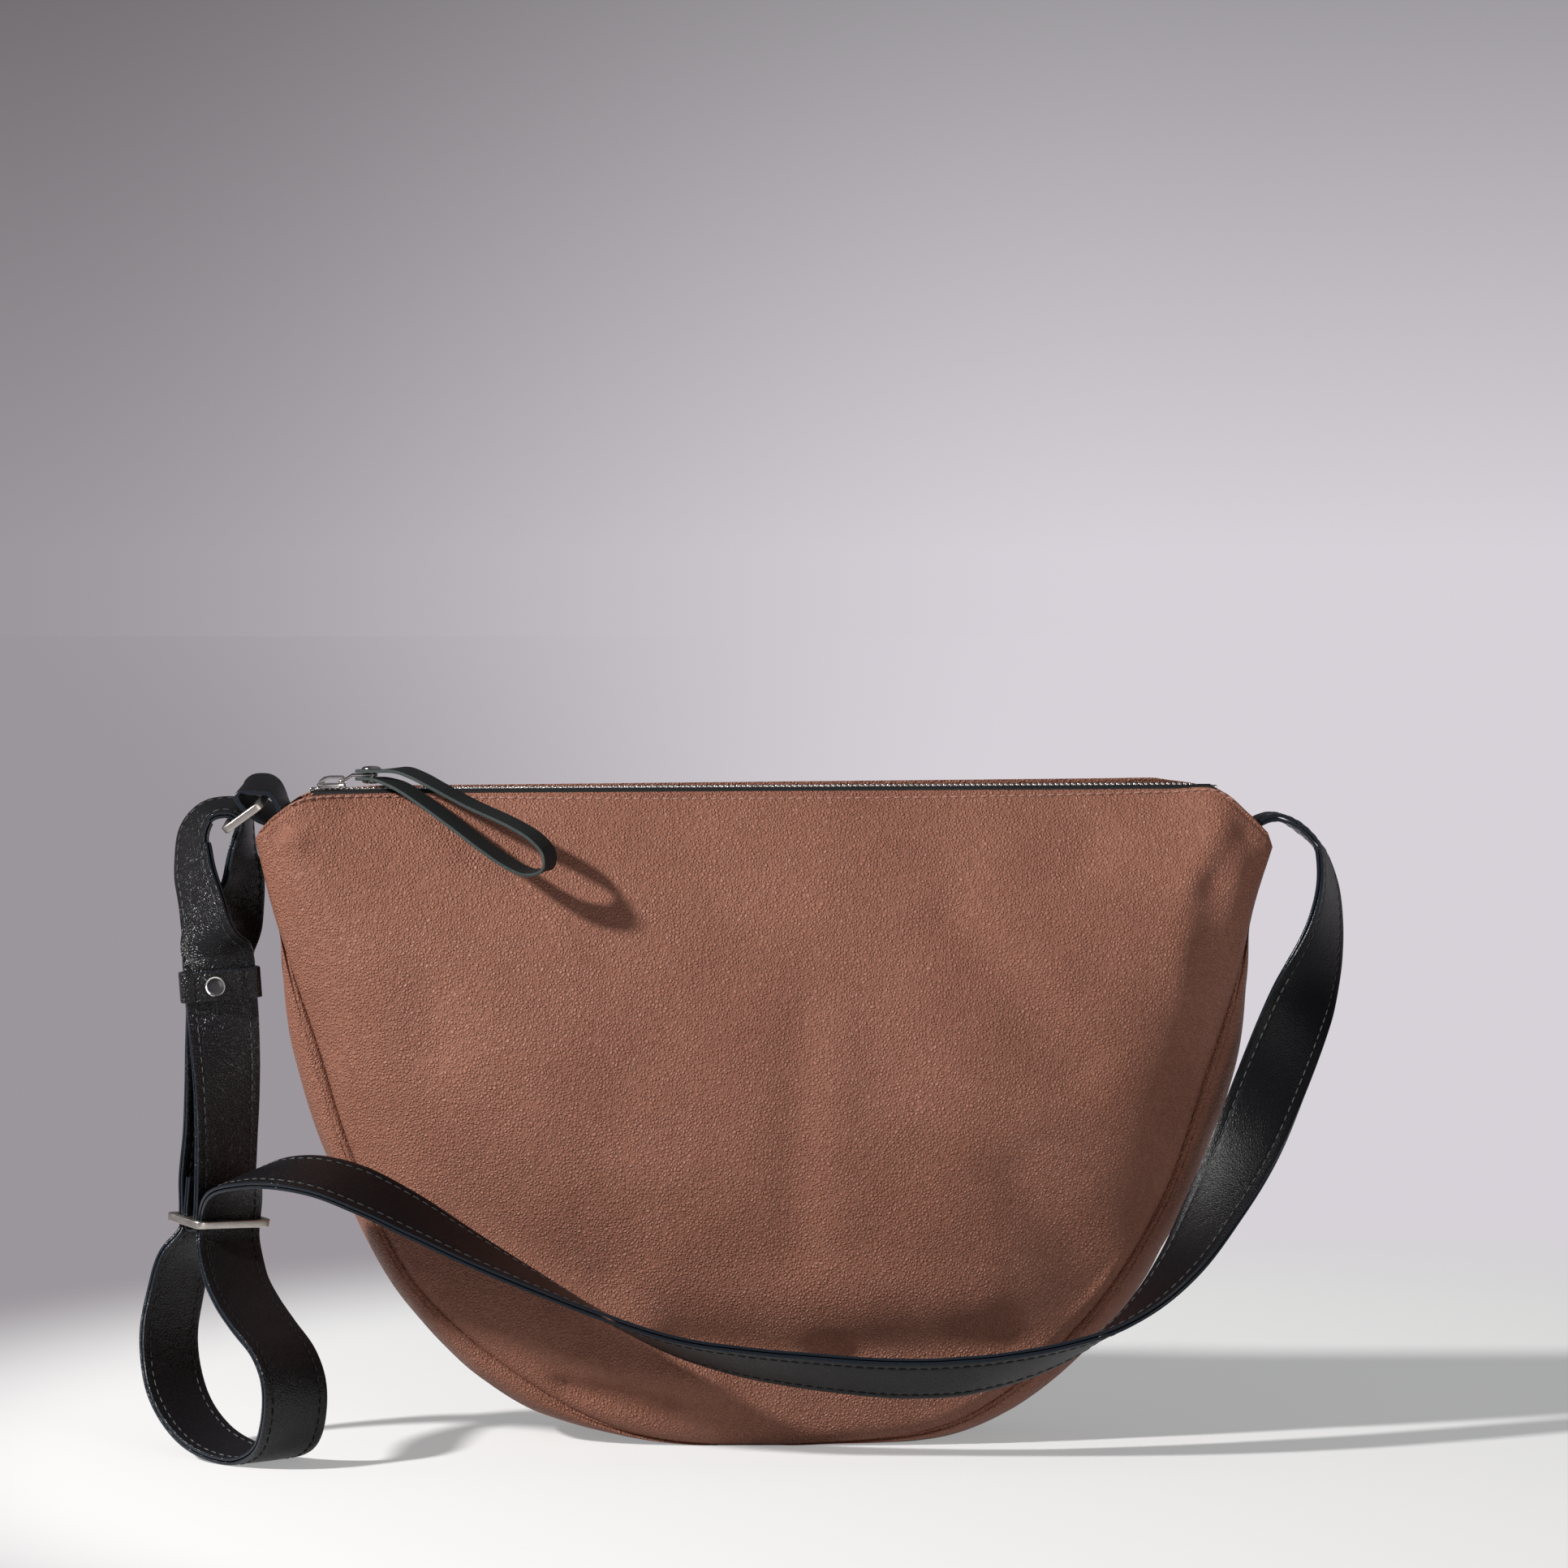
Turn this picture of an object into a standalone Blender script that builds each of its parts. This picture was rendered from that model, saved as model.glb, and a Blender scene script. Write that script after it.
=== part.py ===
"""A crescent pouch bag in soft leather with a flat leather shoulder strap, built in metres with +Z up.

The bag stands on its flat base at the origin. +X runs along the zip to the strap's sewn end, and the front
panel faces -Y. Front panel, back panel, gusset and lining are thin shells around a real interior.
"""

import math

import bmesh
import bpy
import numpy as np
from mathutils import Matrix, Vector

# Clearances and leather
GAP = 0.0003
SEAM_GAP = 0.0005
PANEL_THICK = 0.0015
LINING_THICK = 0.0005
LINING_GAP = 0.0012

# Bag body
BAG_WIDTH = 0.400
BAG_HEIGHT = 0.2562
BAG_DEPTH = 0.092
HALF_WIDTH = BAG_WIDTH / 2
HALF_DEPTH = BAG_DEPTH / 2

# Columns of the body from the left corner to the right one. The first two shares place the panel's top edge
# (x, and how far it drops below the zip line), the next two the seam (x and height), then come the half
# depths at the top edge and at the seam, the extra half depth of the belly, and the gusset's bulge.
BODY_SHARES = (
    (-0.985, 0.053, -0.997, 0.922, 0.35, 0.35, 0.00, -0.05),
    (-0.955, 0.030, -0.963, 0.816, 0.36, 0.38, 0.07, -0.05),
    (-0.895, 0.004, -0.924, 0.724, 0.33, 0.44, 0.20, 0.11),
    (-0.780, 0.000, -0.870, 0.605, 0.19, 0.52, 0.37, 0.26),
    (-0.635, 0.000, -0.800, 0.437, 0.175, 0.61, 0.48, 0.26),
    (-0.465, 0.000, -0.680, 0.246, 0.175, 0.67, 0.54, 0.24),
    (-0.275, 0.000, -0.460, 0.096, 0.175, 0.70, 0.58, 0.28),
    (-0.075, 0.000, -0.225, 0.012, 0.175, 0.70, 0.58, 0.07),
    (0.125, 0.000, 0.100, 0.002, 0.175, 0.70, 0.58, 0.02),
    (0.310, 0.000, 0.390, 0.041, 0.175, 0.70, 0.58, 0.20),
    (0.490, 0.000, 0.625, 0.191, 0.175, 0.67, 0.54, 0.28),
    (0.650, 0.000, 0.775, 0.371, 0.175, 0.63, 0.48, 0.28),
    (0.785, 0.000, 0.865, 0.566, 0.19, 0.54, 0.37, 0.28),
    (0.890, 0.004, 0.928, 0.710, 0.33, 0.44, 0.20, 0.11),
    (0.950, 0.037, 0.963, 0.824, 0.36, 0.38, 0.07, -0.05),
    (0.987, 0.066, 0.998, 0.910, 0.35, 0.35, 0.00, -0.05),
)
BELLY_LOW_SHARE = 0.92
PANEL_COLUMNS = 40
PANEL_ROWS = 10
GUSSET_ROWS = 6
LINING_COLUMNS = 24
LINING_ROWS = 8
LINING_SIDE_SHARE = 0.12
LINING_TOP_SHARE = 0.05
LINING_LOW_SHARE = 0.92

# Zip
ZIP_END_ROOM = 0.024
ZIP_LENGTH = BAG_WIDTH - 2 * ZIP_END_ROOM
ZIP_RISE = 0.002
TOOTH_PITCH = 0.0022
TEETH_PER_BLOCK = 8
COMB_HALF = 0.0024
COMB_HEIGHT = 0.0020
TOOTH_DEPTH = 0.0011
TAPE_THICK = 0.0006
TAPE_BEND_Y = 0.0052
TAPE_DROP_SHARE = 0.03
TAPE_GAP = 0.0007
TAPE_COLUMN_SHARE = 0.14
TAPE_STATIONS = 24
PANEL_EDGE_DROP = 0.0004
STOP_LENGTH = 0.0024

# Zip slider and its puller
SLIDER_LENGTH = 0.0115
SLIDER_PLATE = 0.0012
SLIDER_CHANNEL_GAP = 0.0003
SLIDER_LIP = 0.0012
NECK_THICK = 0.0006
NECK_LENGTH = 0.0016
BRIDGE_WIDTH = 0.0024
BRIDGE_THICK = 0.0011
BRIDGE_ROOM = 0.0020
LINK_WIRE = 0.0012
LINK_SIDES_RESOLUTION = 2
LINK_RISE = 0.0023
LINK_BEND = 0.005
LINK_REACH = 0.0125

# Leather pull: its centre line from the rivet, as shares of its reach along X, Y and Z
PULL_REACH = 0.084
PULL_WIDTH = 0.010
PULL_THICK = 0.0013
PULL_ACROSS = (0.42, 0.89, 0.16)
PULL_LEVEL_SHARE = 0.5
PULL_ROUTE_SHARES = (
    (0.150, -0.110, 0.027),
    (0.230, -0.172, 0.003),
    (0.330, -0.250, -0.044),
    (0.490, -0.320, -0.124),
    (0.690, -0.430, -0.209),
    (0.800, -0.490, -0.274),
    (0.855, -0.520, -0.344),
    (0.845, -0.535, -0.409),
    (0.770, -0.515, -0.429),
    (0.680, -0.485, -0.394),
    (0.570, -0.445, -0.324),
    (0.420, -0.370, -0.217),
    (0.260, -0.266, -0.109),
    (0.150, -0.172, -0.046),
)
RIVET_CAP_RADIUS = 0.0038
RIVET_CAP_HEIGHT = 0.0012
RIVET_POST_RADIUS = 0.0010
ROUND_SIDES = 24

# Strap
STRAP_WIDTH = 0.028
STRAP_LAYER = 0.00135
STRAP_THICK = 2 * STRAP_LAYER + GAP
STRAP_STEP = 0.006
BEND_STEPS = 8

# Metal ring in the left tab
RING_BAR = 0.0026
RING_SHORT = 0.0190
RING_SIDE_GAP = 0.0023
RING_PLACE_SHARES = (-0.9825, -0.010, 0.9890)
RING_LONG = (0.05, 0.975, 0.21)
RING_SHORT_WAY = (0.79, -0.20, 0.56)
METAL_EDGE = 0.0004

# Left tab: centre points (x, z) around the ring's bar, as shares of the half width and of the height
TAB_WIDTH = 0.0283
TAB_THICK = 0.0022
TAB_ROUTE_SHARES = (
    (-0.9300, 0.9485),
    (-0.9580, 0.9505),
    (-0.9925, 0.9660),
    (-1.0175, 0.9820),
    (-1.0265, 0.9935),
    (-1.0150, 1.0025),
    (-0.9940, 1.0045),
    (-0.9700, 1.0000),
    (-0.9575, 0.9885),
    (-0.9510, 0.9770),
    (-0.9430, 0.9650),
    (-0.9300, 0.9590),
)

# Keeper band round both plies, and its snap
KEEPER_PLACE_SHARES = (-1.068, -0.22, 0.699)
KEEPER_ACROSS = (0.975, 0.20, 0.07)
KEEPER_UP = (-0.18, -0.02, 0.98)
KEEPER_HEIGHT = 0.0120
KEEPER_THICK = 0.0013
KEEPER_ROOM = 0.0006
KEEPER_LAP = 0.014
KEEPER_RAMP = 0.004
KEEPER_CORNER = 0.0012
KEEPER_STRAIGHT = 0.010
KEEPER_INSIDE = 0.0065
PLY_GAP = 0.0010
SNAP_RADIUS = 0.0040
SNAP_HEIGHT = 0.0016
SNAP_RIM = 0.0006
SNAP_PLACE_SHARE = -0.10

# Buckle: a rectangle with a centre bar
BUCKLE_PLACE_SHARES = (-1.065, -0.52, 0.3435)
BUCKLE_LONG = (0.765, 0.640, -0.05)
BUCKLE_STACK = (-0.64, 0.76, 0.08)
BUCKLE_BAR = 0.0026
BUCKLE_ROOM = 0.0006
FOLD_ROOM = 0.0006
TAIL_LENGTH = 0.0165

# Free stretches of the strap: centre point (x, y, z) as shares of the half width, half depth and height,
# then the direction across the strap from its near edge to its far edge.
PLY_SHARES = (
    (-1.051, -0.60, 0.400, 0.73, 0.68, -0.06),
    (-1.050, -0.53, 0.474, 0.76, 0.64, -0.04),
    (-1.052, -0.42, 0.557, 0.85, 0.52, -0.04),
)
FRONT_PLY_SHARES = (
    (-1.086, -0.33, 0.769, 0.97, 0.06, 0.18),
    (-1.0965, -0.33, 0.793, 0.90, -0.40, 0.12),
    (-1.1075, -0.24, 0.828, 0.74, -0.67, 0.02),
    (-1.120, -0.12, 0.867, 0.60, -0.80, 0.00),
    (-1.128, 0.00, 0.902, 0.54, -0.84, 0.00),
    (-1.124, 0.02, 0.934, 0.44, -0.89, -0.02),
    (-1.106, 0.055, 0.9570, 0.34, -0.94, -0.12),
    (-1.080, 0.055, 0.9675, 0.16, -0.97, -0.16),
)
BACK_PLY_SHARES = (
    (-1.029, 0.03, 0.8850, -0.31, -0.95, 0.06),
    (-1.031, 0.07, 0.8570, -0.44, -0.89, 0.08),
    (-1.037, 0.08, 0.8280, -0.58, -0.81, 0.08),
    (-1.049, 0.02, 0.7960, -0.77, -0.64, 0.06),
    (-1.070, -0.06, 0.7670, -0.97, -0.20, 0.22),
)
PLY_SPREAD_SHARES = (3.75, 2.8, 1.9)

# The bight over the ring: centre point from the ring's middle, as shares of the strap's width, then across
BIGHT_SHARES = (
    (-0.4679, 0.1068, -0.1830, 0.00, -0.98, -0.19),
    (-0.3964, 0.1068, -0.2031, -0.05, -0.98, -0.19),
    (-0.3357, 0.1068, -0.2562, -0.04, -0.98, -0.18),
    (-0.3036, 0.1068, -0.3312, -0.04, -0.98, -0.15),
    (-0.3036, 0.1068, -0.5124, -0.08, -0.98, -0.08),
)

# The loop on the floor, and the run across the front to the right corner
LOOP_SHARES = (
    (-1.136, -0.37, 0.283, 0.63, 0.77, -0.08),
    (-1.154, -0.38, 0.230, 0.67, 0.74, -0.06),
    (-1.166, -0.46, 0.168, 0.67, 0.74, -0.05),
    (-1.156, -0.60, 0.110, 0.67, 0.74, -0.02),
    (-1.130, -0.80, 0.066, 0.67, 0.74, -0.02),
    (-1.078, -1.06, 0.027, 0.68, 0.73, 0.00),
    (-1.015, -1.29, 0.0087, 0.74, 0.67, 0.00),
    (-0.955, -1.50, 0.0087, 0.78, 0.62, 0.00),
    (-0.912, -1.70, 0.032, 0.78, 0.62, -0.02),
    (-0.893, -1.83, 0.077, 0.78, 0.61, -0.06),
    (-0.892, -1.82, 0.127, 0.79, 0.60, -0.08),
    (-0.915, -1.64, 0.168, 0.79, 0.61, -0.04),
    (-0.960, -1.38, 0.203, 0.79, 0.61, 0.00),
    (-0.998, -1.12, 0.234, 0.77, 0.64, 0.02),
    (-1.026, -0.90, 0.268, 0.75, 0.66, 0.00),
)
RUN_SHARES = (
    (-1.026, -0.92, 0.404, 0.56, 0.82, 0.10),
    (-0.976, -1.18, 0.426, 0.36, 0.92, 0.18),
    (-0.917, -1.36, 0.434, 0.27, 0.92, 0.27),
    (-0.848, -1.47, 0.430, 0.14, 0.92, 0.37),
    (-0.770, -1.50, 0.410, 0.11, 0.88, 0.46),
    (-0.671, -1.50, 0.371, 0.12, 0.91, 0.40),
    (-0.552, -1.48, 0.318, 0.09, 0.97, 0.23),
    (-0.434, -1.46, 0.269, 0.04, 1.00, 0.06),
    (-0.310, -1.44, 0.220, 0.00, 0.99, -0.14),
    (-0.168, -1.44, 0.174, -0.06, 0.94, -0.32),
    (-0.045, -1.44, 0.151, -0.06, 0.88, -0.46),
    (0.090, -1.44, 0.136, -0.03, 0.83, -0.55),
    (0.256, -1.44, 0.125, 0.00, 0.80, -0.60),
    (0.380, -1.44, 0.128, 0.06, 0.80, -0.59),
    (0.502, -1.42, 0.145, 0.10, 0.88, -0.46),
    (0.601, -1.39, 0.170, 0.08, 0.95, -0.28),
    (0.676, -1.34, 0.199, 0.00, 1.00, -0.08),
    (0.748, -1.27, 0.243, -0.20, 0.97, 0.08),
    (0.810, -1.16, 0.297, -0.44, 0.89, 0.15),
    (0.867, -1.02, 0.366, -0.66, 0.73, 0.18),
    (0.931, -0.84, 0.453, -0.85, 0.47, 0.24),
    (0.991, -0.64, 0.559, -0.93, 0.10, 0.34),
    (1.040, -0.45, 0.646, -0.90, -0.20, 0.36),
    (1.070, -0.28, 0.696, -0.82, -0.50, 0.28),
    (1.095, -0.17, 0.748, -0.66, -0.74, 0.12),
    (1.110, -0.10, 0.806, -0.46, -0.88, 0.00),
    (1.111, -0.05, 0.861, -0.28, -0.95, 0.00),
    (1.096, 0.00, 0.906, -0.12, -0.99, 0.04),
    (1.068, 0.00, 0.930, -0.04, -1.00, 0.08),
    (1.042, 0.00, 0.946, -0.04, -1.00, 0.06),
    (1.018, 0.00, 0.954, -0.04, -1.00, 0.02),
    (0.997, 0.00, 0.955, -0.02, -1.00, 0.00),
    (0.973, 0.00, 0.948, 0.00, -1.00, 0.00),
    (0.943, 0.00, 0.932, 0.00, -1.00, 0.00),
)


# Curves and frames


def smooth_values(rows, places):
    """Catmull-Rom through the rows of a table, read at places from 0 (first row) to 1 (last row)."""
    rows = np.asarray(rows, float)
    last = len(rows) - 1
    spots = np.clip(np.asarray(places, float), 0, 1) * last
    before = np.clip(np.floor(spots).astype(int), 0, last - 1)
    part = (spots - before)[..., None]
    padded = np.vstack([2 * rows[0] - rows[1], rows, 2 * rows[-1] - rows[-2]])
    p0, p1, p2, p3 = (padded[before + step] for step in range(4))
    return p1 + part / 2 * (
        p2 - p0 + part * (2 * p0 - 5 * p1 + 4 * p2 - p3 + part * (3 * (p1 - p2) + p3 - p0))
    )


def smooth_route(rows, step):
    """Rows that start with a place, resampled about step apart on a centripetal curve."""
    rows = np.asarray(rows, float)
    places = rows[:, :3]
    padded = np.vstack([2 * places[0] - places[1], places, 2 * places[-1] - places[-2]])
    found = []
    for index in range(len(rows) - 1):
        p0, p1, p2, p3 = padded[index : index + 4]
        pairs = ((p0, p1), (p1, p2), (p2, p3))
        t1, span, last = (math.sqrt(max(np.linalg.norm(b - a), GAP)) for a, b in pairs)
        t2 = t1 + span
        t3 = t2 + last
        count = max(1, round(np.linalg.norm(p2 - p1) / step))
        for part in range(count):
            t = t1 + span * part / count
            a1 = p0 * (t1 - t) / t1 + p1 * t / t1
            a2 = p1 * (t2 - t) / span + p2 * (t - t1) / span
            a3 = p2 * (t3 - t) / last + p3 * (t - t2) / last
            b1 = a1 * (t2 - t) / t2 + a2 * t / t2
            b2 = a2 * (t3 - t) / (t3 - t1) + a3 * (t - t1) / (t3 - t1)
            place = b1 * (t2 - t) / span + b2 * (t - t1) / span
            others = rows[index, 3:] + (rows[index + 1, 3:] - rows[index, 3:]) * part / count
            found.append(np.concatenate([place, others]))
    found.append(rows[-1])
    return np.array(found)


def unit(vector):
    vector = np.asarray(vector, float)
    return vector / np.linalg.norm(vector, axis=-1, keepdims=True)


def frame_of(place_shares, across, up):
    """A hardware frame: its centre, and unit directions across, through (away from the viewer) and up."""
    centre = np.array([HALF_WIDTH, HALF_DEPTH, BAG_HEIGHT]) * place_shares
    across = unit(across)
    up = unit(np.asarray(up, float) - np.dot(up, across) * across)
    return centre, across, np.cross(up, across), up


def placed(shares):
    """Route rows in shares turned into metres, their directions kept."""
    rows = np.array(shares, float)
    rows[:, :3] *= (HALF_WIDTH, HALF_DEPTH, BAG_HEIGHT)
    return rows


# The body's surfaces


def zip_height(x):
    return BAG_HEIGHT + x * ZIP_RISE / ZIP_LENGTH


def panel_skin(columns, rows, side, inset):
    """Points of a panel, inset from its outer face: rows run from the zip edge (0) to the seam (1)."""
    columns, rows = np.meshgrid(columns, rows, indexing="ij")
    keys = smooth_values(BODY_SHARES, columns)
    top_x = keys[..., 0] * HALF_WIDTH
    top_z = zip_height(top_x) - PANEL_EDGE_DROP - keys[..., 1] * BAG_HEIGHT
    seam_x = keys[..., 2] * HALF_WIDTH
    seam_z = np.maximum(keys[..., 3] * BAG_HEIGHT, 0)
    half = (keys[..., 4] + (keys[..., 5] - keys[..., 4]) * rows) * HALF_DEPTH
    belly = keys[..., 6] * HALF_DEPTH * np.sin(math.pi * rows**BELLY_LOW_SHARE)
    x = top_x + (seam_x - top_x) * rows
    z = top_z + (seam_z - top_z) * rows
    return np.stack([x, side * (half + belly - inset), z], axis=-1)


def gusset_skin(columns, across, inset):
    """Points of the gusset, inset from its outer face; across is -1 at the front seam and 1 at the back."""
    columns, across = np.meshgrid(columns, across, indexing="ij")
    keys = smooth_values(BODY_SHARES, columns)
    step = 0.5 / len(BODY_SHARES) / GUSSET_ROWS
    ahead = smooth_values(BODY_SHARES, columns + step)[..., 2:4]
    behind = smooth_values(BODY_SHARES, columns - step)[..., 2:4]
    run = unit((ahead - behind) * (HALF_WIDTH, BAG_HEIGHT))
    out = keys[..., 7] * HALF_DEPTH * (1 - across**2) - inset
    half = keys[..., 5] * HALF_DEPTH - PANEL_THICK - SEAM_GAP
    x = keys[..., 2] * HALF_WIDTH + run[..., 1] * out
    z = keys[..., 3] * BAG_HEIGHT - run[..., 0] * out
    return np.stack([x, across * half, np.maximum(z, inset)], axis=-1)


# Making objects

def material(name, colour, roughness, metallic=0.0):
    made = bpy.data.materials.new(name)
    made.use_nodes = True
    shader = made.node_tree.nodes["Principled BSDF"]
    shader.inputs["Base Color"].default_value = (*colour, 1)
    shader.inputs["Roughness"].default_value = roughness
    shader.inputs["Metallic"].default_value = metallic
    made.diffuse_color = (*colour, 1)
    return made


def new_object(name, mesh, finish, smooth=True):
    mesh.materials.append(finish)
    if smooth:
        mesh.shade_smooth()
        mesh.set_sharp_from_angle(angle=math.radians(35))
    made = bpy.data.objects.new(name, mesh)
    bpy.context.scene.collection.objects.link(made)
    return made


def mesh_from(name, points, faces):
    mesh = bpy.data.meshes.new(name)
    mesh.from_pydata([tuple(point) for point in points], [], faces)
    shape = bmesh.new()
    shape.from_mesh(mesh)
    bmesh.ops.recalc_face_normals(shape, faces=shape.faces)
    shape.to_mesh(mesh)
    shape.free()
    return mesh


def shell(name, outer, inner, finish):
    """A closed sheet between two grids of points."""
    columns, rows = outer.shape[:2]
    points = np.concatenate([outer.reshape(-1, 3), inner.reshape(-1, 3)])
    under = columns * rows

    def at(column, row):
        return column * rows + row

    faces = []
    for c in range(columns - 1):
        for r in range(rows - 1):
            quad = (at(c, r), at(c + 1, r), at(c + 1, r + 1), at(c, r + 1))
            faces.append(quad)
            faces.append(tuple(under + corner for corner in reversed(quad)))
    border = [at(c, 0) for c in range(columns)]
    border += [at(columns - 1, r) for r in range(1, rows)]
    border += [at(c, rows - 1) for c in reversed(range(columns - 1))]
    border += [at(0, r) for r in reversed(range(1, rows - 1))]
    for first, second in zip(border, border[1:] + border[:1]):
        faces.append((second, first, under + first, under + second))
    return new_object(name, mesh_from(name, points, faces), finish)


def band_edges(centres, across, half_width, low, high):
    """The four corners of a strip at each centre: across its width, and from low to high along its normal."""
    centres = np.asarray(centres, float)
    along = unit(np.gradient(centres, axis=0))
    across = np.asarray(across, float)
    across = unit(across - np.sum(across * along, axis=1, keepdims=True) * along)
    normal = np.cross(across, along)
    corners = [
        centres + side * half_width * across + height * normal
        for side, height in ((-1, low), (1, low), (1, high), (-1, high))
    ]
    return np.stack(corners, axis=1)


def strip(name, corners, finish):
    """A closed solid swept through rows of four corners, its wide faces split along the same diagonals."""
    count = len(corners)
    faces = [(3, 2, 1, 0), tuple(4 * (count - 1) + corner for corner in range(4))]
    for index in range(count - 1):
        low = 4 * index
        high = low + 4
        faces.append((low, low + 1, high + 1))
        faces.append((low, high + 1, high))
        faces.append((low + 3, high + 2, low + 2))
        faces.append((low + 3, high + 3, high + 2))
        for corner, beside in ((1, 2), (3, 0)):
            faces.append((low + corner, low + beside, high + beside, high + corner))
    return new_object(name, mesh_from(name, corners.reshape(-1, 3), faces), finish)


def box(name, low, high, finish):
    mesh = bpy.data.meshes.new(name)
    shape = bmesh.new()
    bmesh.ops.create_cube(shape, size=1)
    low, high = Vector(low), Vector(high)
    bmesh.ops.scale(shape, vec=high - low, verts=shape.verts)
    bmesh.ops.translate(shape, vec=(low + high) / 2, verts=shape.verts)
    shape.to_mesh(mesh)
    shape.free()
    return new_object(name, mesh, finish, smooth=False)


def turned(name, profile, finish):
    """A round solid about +Z from a profile of (radius, height) points that starts and ends on the axis."""
    points = [(0, 0, profile[0][1])]
    rings = profile[1:-1]
    for radius, height in rings:
        for side in range(ROUND_SIDES):
            angle = 2 * math.pi * side / ROUND_SIDES
            points.append((radius * math.cos(angle), radius * math.sin(angle), height))
    points.append((0, 0, profile[-1][1]))
    faces = []
    for side in range(ROUND_SIDES):
        beside = (side + 1) % ROUND_SIDES
        faces.append((0, 1 + beside, 1 + side))
        for ring in range(len(rings) - 1):
            low = 1 + ring * ROUND_SIDES
            faces.append((low + side, low + beside, low + ROUND_SIDES + beside, low + ROUND_SIDES + side))
        low = 1 + (len(rings) - 1) * ROUND_SIDES
        faces.append((low + side, low + beside, len(points) - 1))
    return new_object(name, mesh_from(name, points, faces), finish)


def combine(target, other, operation):
    """A Boolean of another object into target; the other stays as a hidden guide."""
    other.hide_render = True
    other.display_type = "WIRE"
    change = target.modifiers.new(operation.title(), "BOOLEAN")
    change.operation = operation
    change.object = other
    return target


def soften(target, width):
    edges = target.modifiers.new("Edges", "BEVEL")
    edges.width = width
    edges.segments = 2
    edges.limit_method = "ANGLE"
    edges.angle_limit = math.radians(40)
    return target


def set_frame(target, centre, across, through, up):
    """Stands a model built on +X, +Y and +Z onto a hardware frame."""
    turn = Matrix(np.stack([across, through, up], axis=1).tolist())
    target.matrix_world = Matrix.Translation(Vector(centre)) @ turn.to_4x4()
    return target


def pivot_at(target, place):
    """Moves an object's origin to the place it turns about, its shape left where it is."""
    target.data.transform(Matrix.Translation(-Vector(place)))
    target.location = place
    return target


def clear_scene():
    for old in list(bpy.data.objects):
        bpy.data.objects.remove(old, do_unlink=True)


# Leather body


def make_body(leather, cloth):
    columns = np.linspace(0, 1, PANEL_COLUMNS + 1)
    rows = np.linspace(0, 1, PANEL_ROWS + 1)
    across = np.linspace(-1, 1, GUSSET_ROWS + 1)
    shell("gusset_band", gusset_skin(columns, across, 0), gusset_skin(columns, across, PANEL_THICK), leather)
    near = PANEL_THICK + LINING_GAP
    inside = np.linspace(LINING_SIDE_SHARE, 1 - LINING_SIDE_SHARE, LINING_COLUMNS + 1)
    lower = np.linspace(LINING_TOP_SHARE, LINING_LOW_SHARE, LINING_ROWS + 1)
    for name, side in (("front", -1), ("back", 1)):
        outer = panel_skin(columns, rows, side, 0)
        shell(name + "_panel", outer, panel_skin(columns, rows, side, PANEL_THICK), leather)
        outer = panel_skin(inside, lower, side, near)
        shell("lining_" + name, outer, panel_skin(inside, lower, side, near + LINING_THICK), cloth)


# Zip


def on_zip(target, x=0.0):
    """Places a model on the zip line, which rises a little from left to right."""
    target.location = (x, 0, zip_height(x))
    target.rotation_euler = (0, -math.atan2(ZIP_RISE, ZIP_LENGTH), 0)
    return target


def make_comb(name, side, finish):
    """One row of teeth on its cord, standing clear of the slider's neck in the middle."""
    blocks = round(ZIP_LENGTH / TOOTH_PITCH / TEETH_PER_BLOCK)
    pitch = ZIP_LENGTH / (blocks * TEETH_PER_BLOCK)
    tip = NECK_THICK / 2 + SLIDER_CHANNEL_GAP
    outline = []
    for tooth in range(blocks * TEETH_PER_BLOCK):
        start = -ZIP_LENGTH / 2 + tooth * pitch
        outline.append((start, tip + TOOTH_DEPTH))
        outline.append((start + pitch / 2, tip))
    outline.append((ZIP_LENGTH / 2, tip + TOOTH_DEPTH))
    points = []
    for x, y in outline:
        for height in (-COMB_HEIGHT / 2, COMB_HEIGHT / 2):
            points.append((x, side * y, height))
    base = len(points)
    for block in range(blocks + 1):
        x = -ZIP_LENGTH / 2 + block * TEETH_PER_BLOCK * pitch
        for height in (-COMB_HEIGHT / 2, COMB_HEIGHT / 2):
            points.append((x, side * COMB_HALF, height))
    faces = []
    for index in range(len(outline) - 1):
        low = 2 * index
        faces.append((low, low + 2, low + 3, low + 1))
    for block in range(blocks):
        low = base + 2 * block
        faces.append((low, low + 1, low + 3, low + 2))
        first = 2 * TEETH_PER_BLOCK * block
        teeth = range(first, first + 2 * TEETH_PER_BLOCK + 1)
        for level in (0, 1):
            faces.append([2 * index + level for index in teeth] + [low + 2 + level, low + level])
    faces.append((0, 1, base + 1, base))
    last = 2 * (len(outline) - 1)
    end = base + 2 * blocks
    faces.append((last, end, end + 1, last + 1))
    return on_zip(new_object(name, mesh_from(name, points, faces), finish, smooth=False))


def make_tape(name, side, finish):
    """Woven tape from the teeth out and down behind the panel's top edge."""
    columns = np.linspace(TAPE_COLUMN_SHARE, 1 - TAPE_COLUMN_SHARE, TAPE_STATIONS)
    depth = PANEL_THICK + TAPE_GAP + TAPE_THICK / 2
    under = panel_skin(columns, (0, TAPE_DROP_SHARE), side, depth)
    rows = []
    for index in range(TAPE_STATIONS):
        hem, low = under[index]
        x = hem[0]
        flat = zip_height(x)
        inner = np.array([x, side * (COMB_HALF + GAP), flat])
        bend = np.array([x, side * TAPE_BEND_Y, flat])
        rows.append([inner, bend, hem, low])
    rows = np.array(rows)
    thick = np.array([0, side * TAPE_THICK / 2, TAPE_THICK / 2])
    upright = np.array([0, 0, TAPE_THICK / 2])
    shifts = np.array([upright, upright, thick, thick])
    return shell(name, rows + shifts, rows - shifts, finish)


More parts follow.
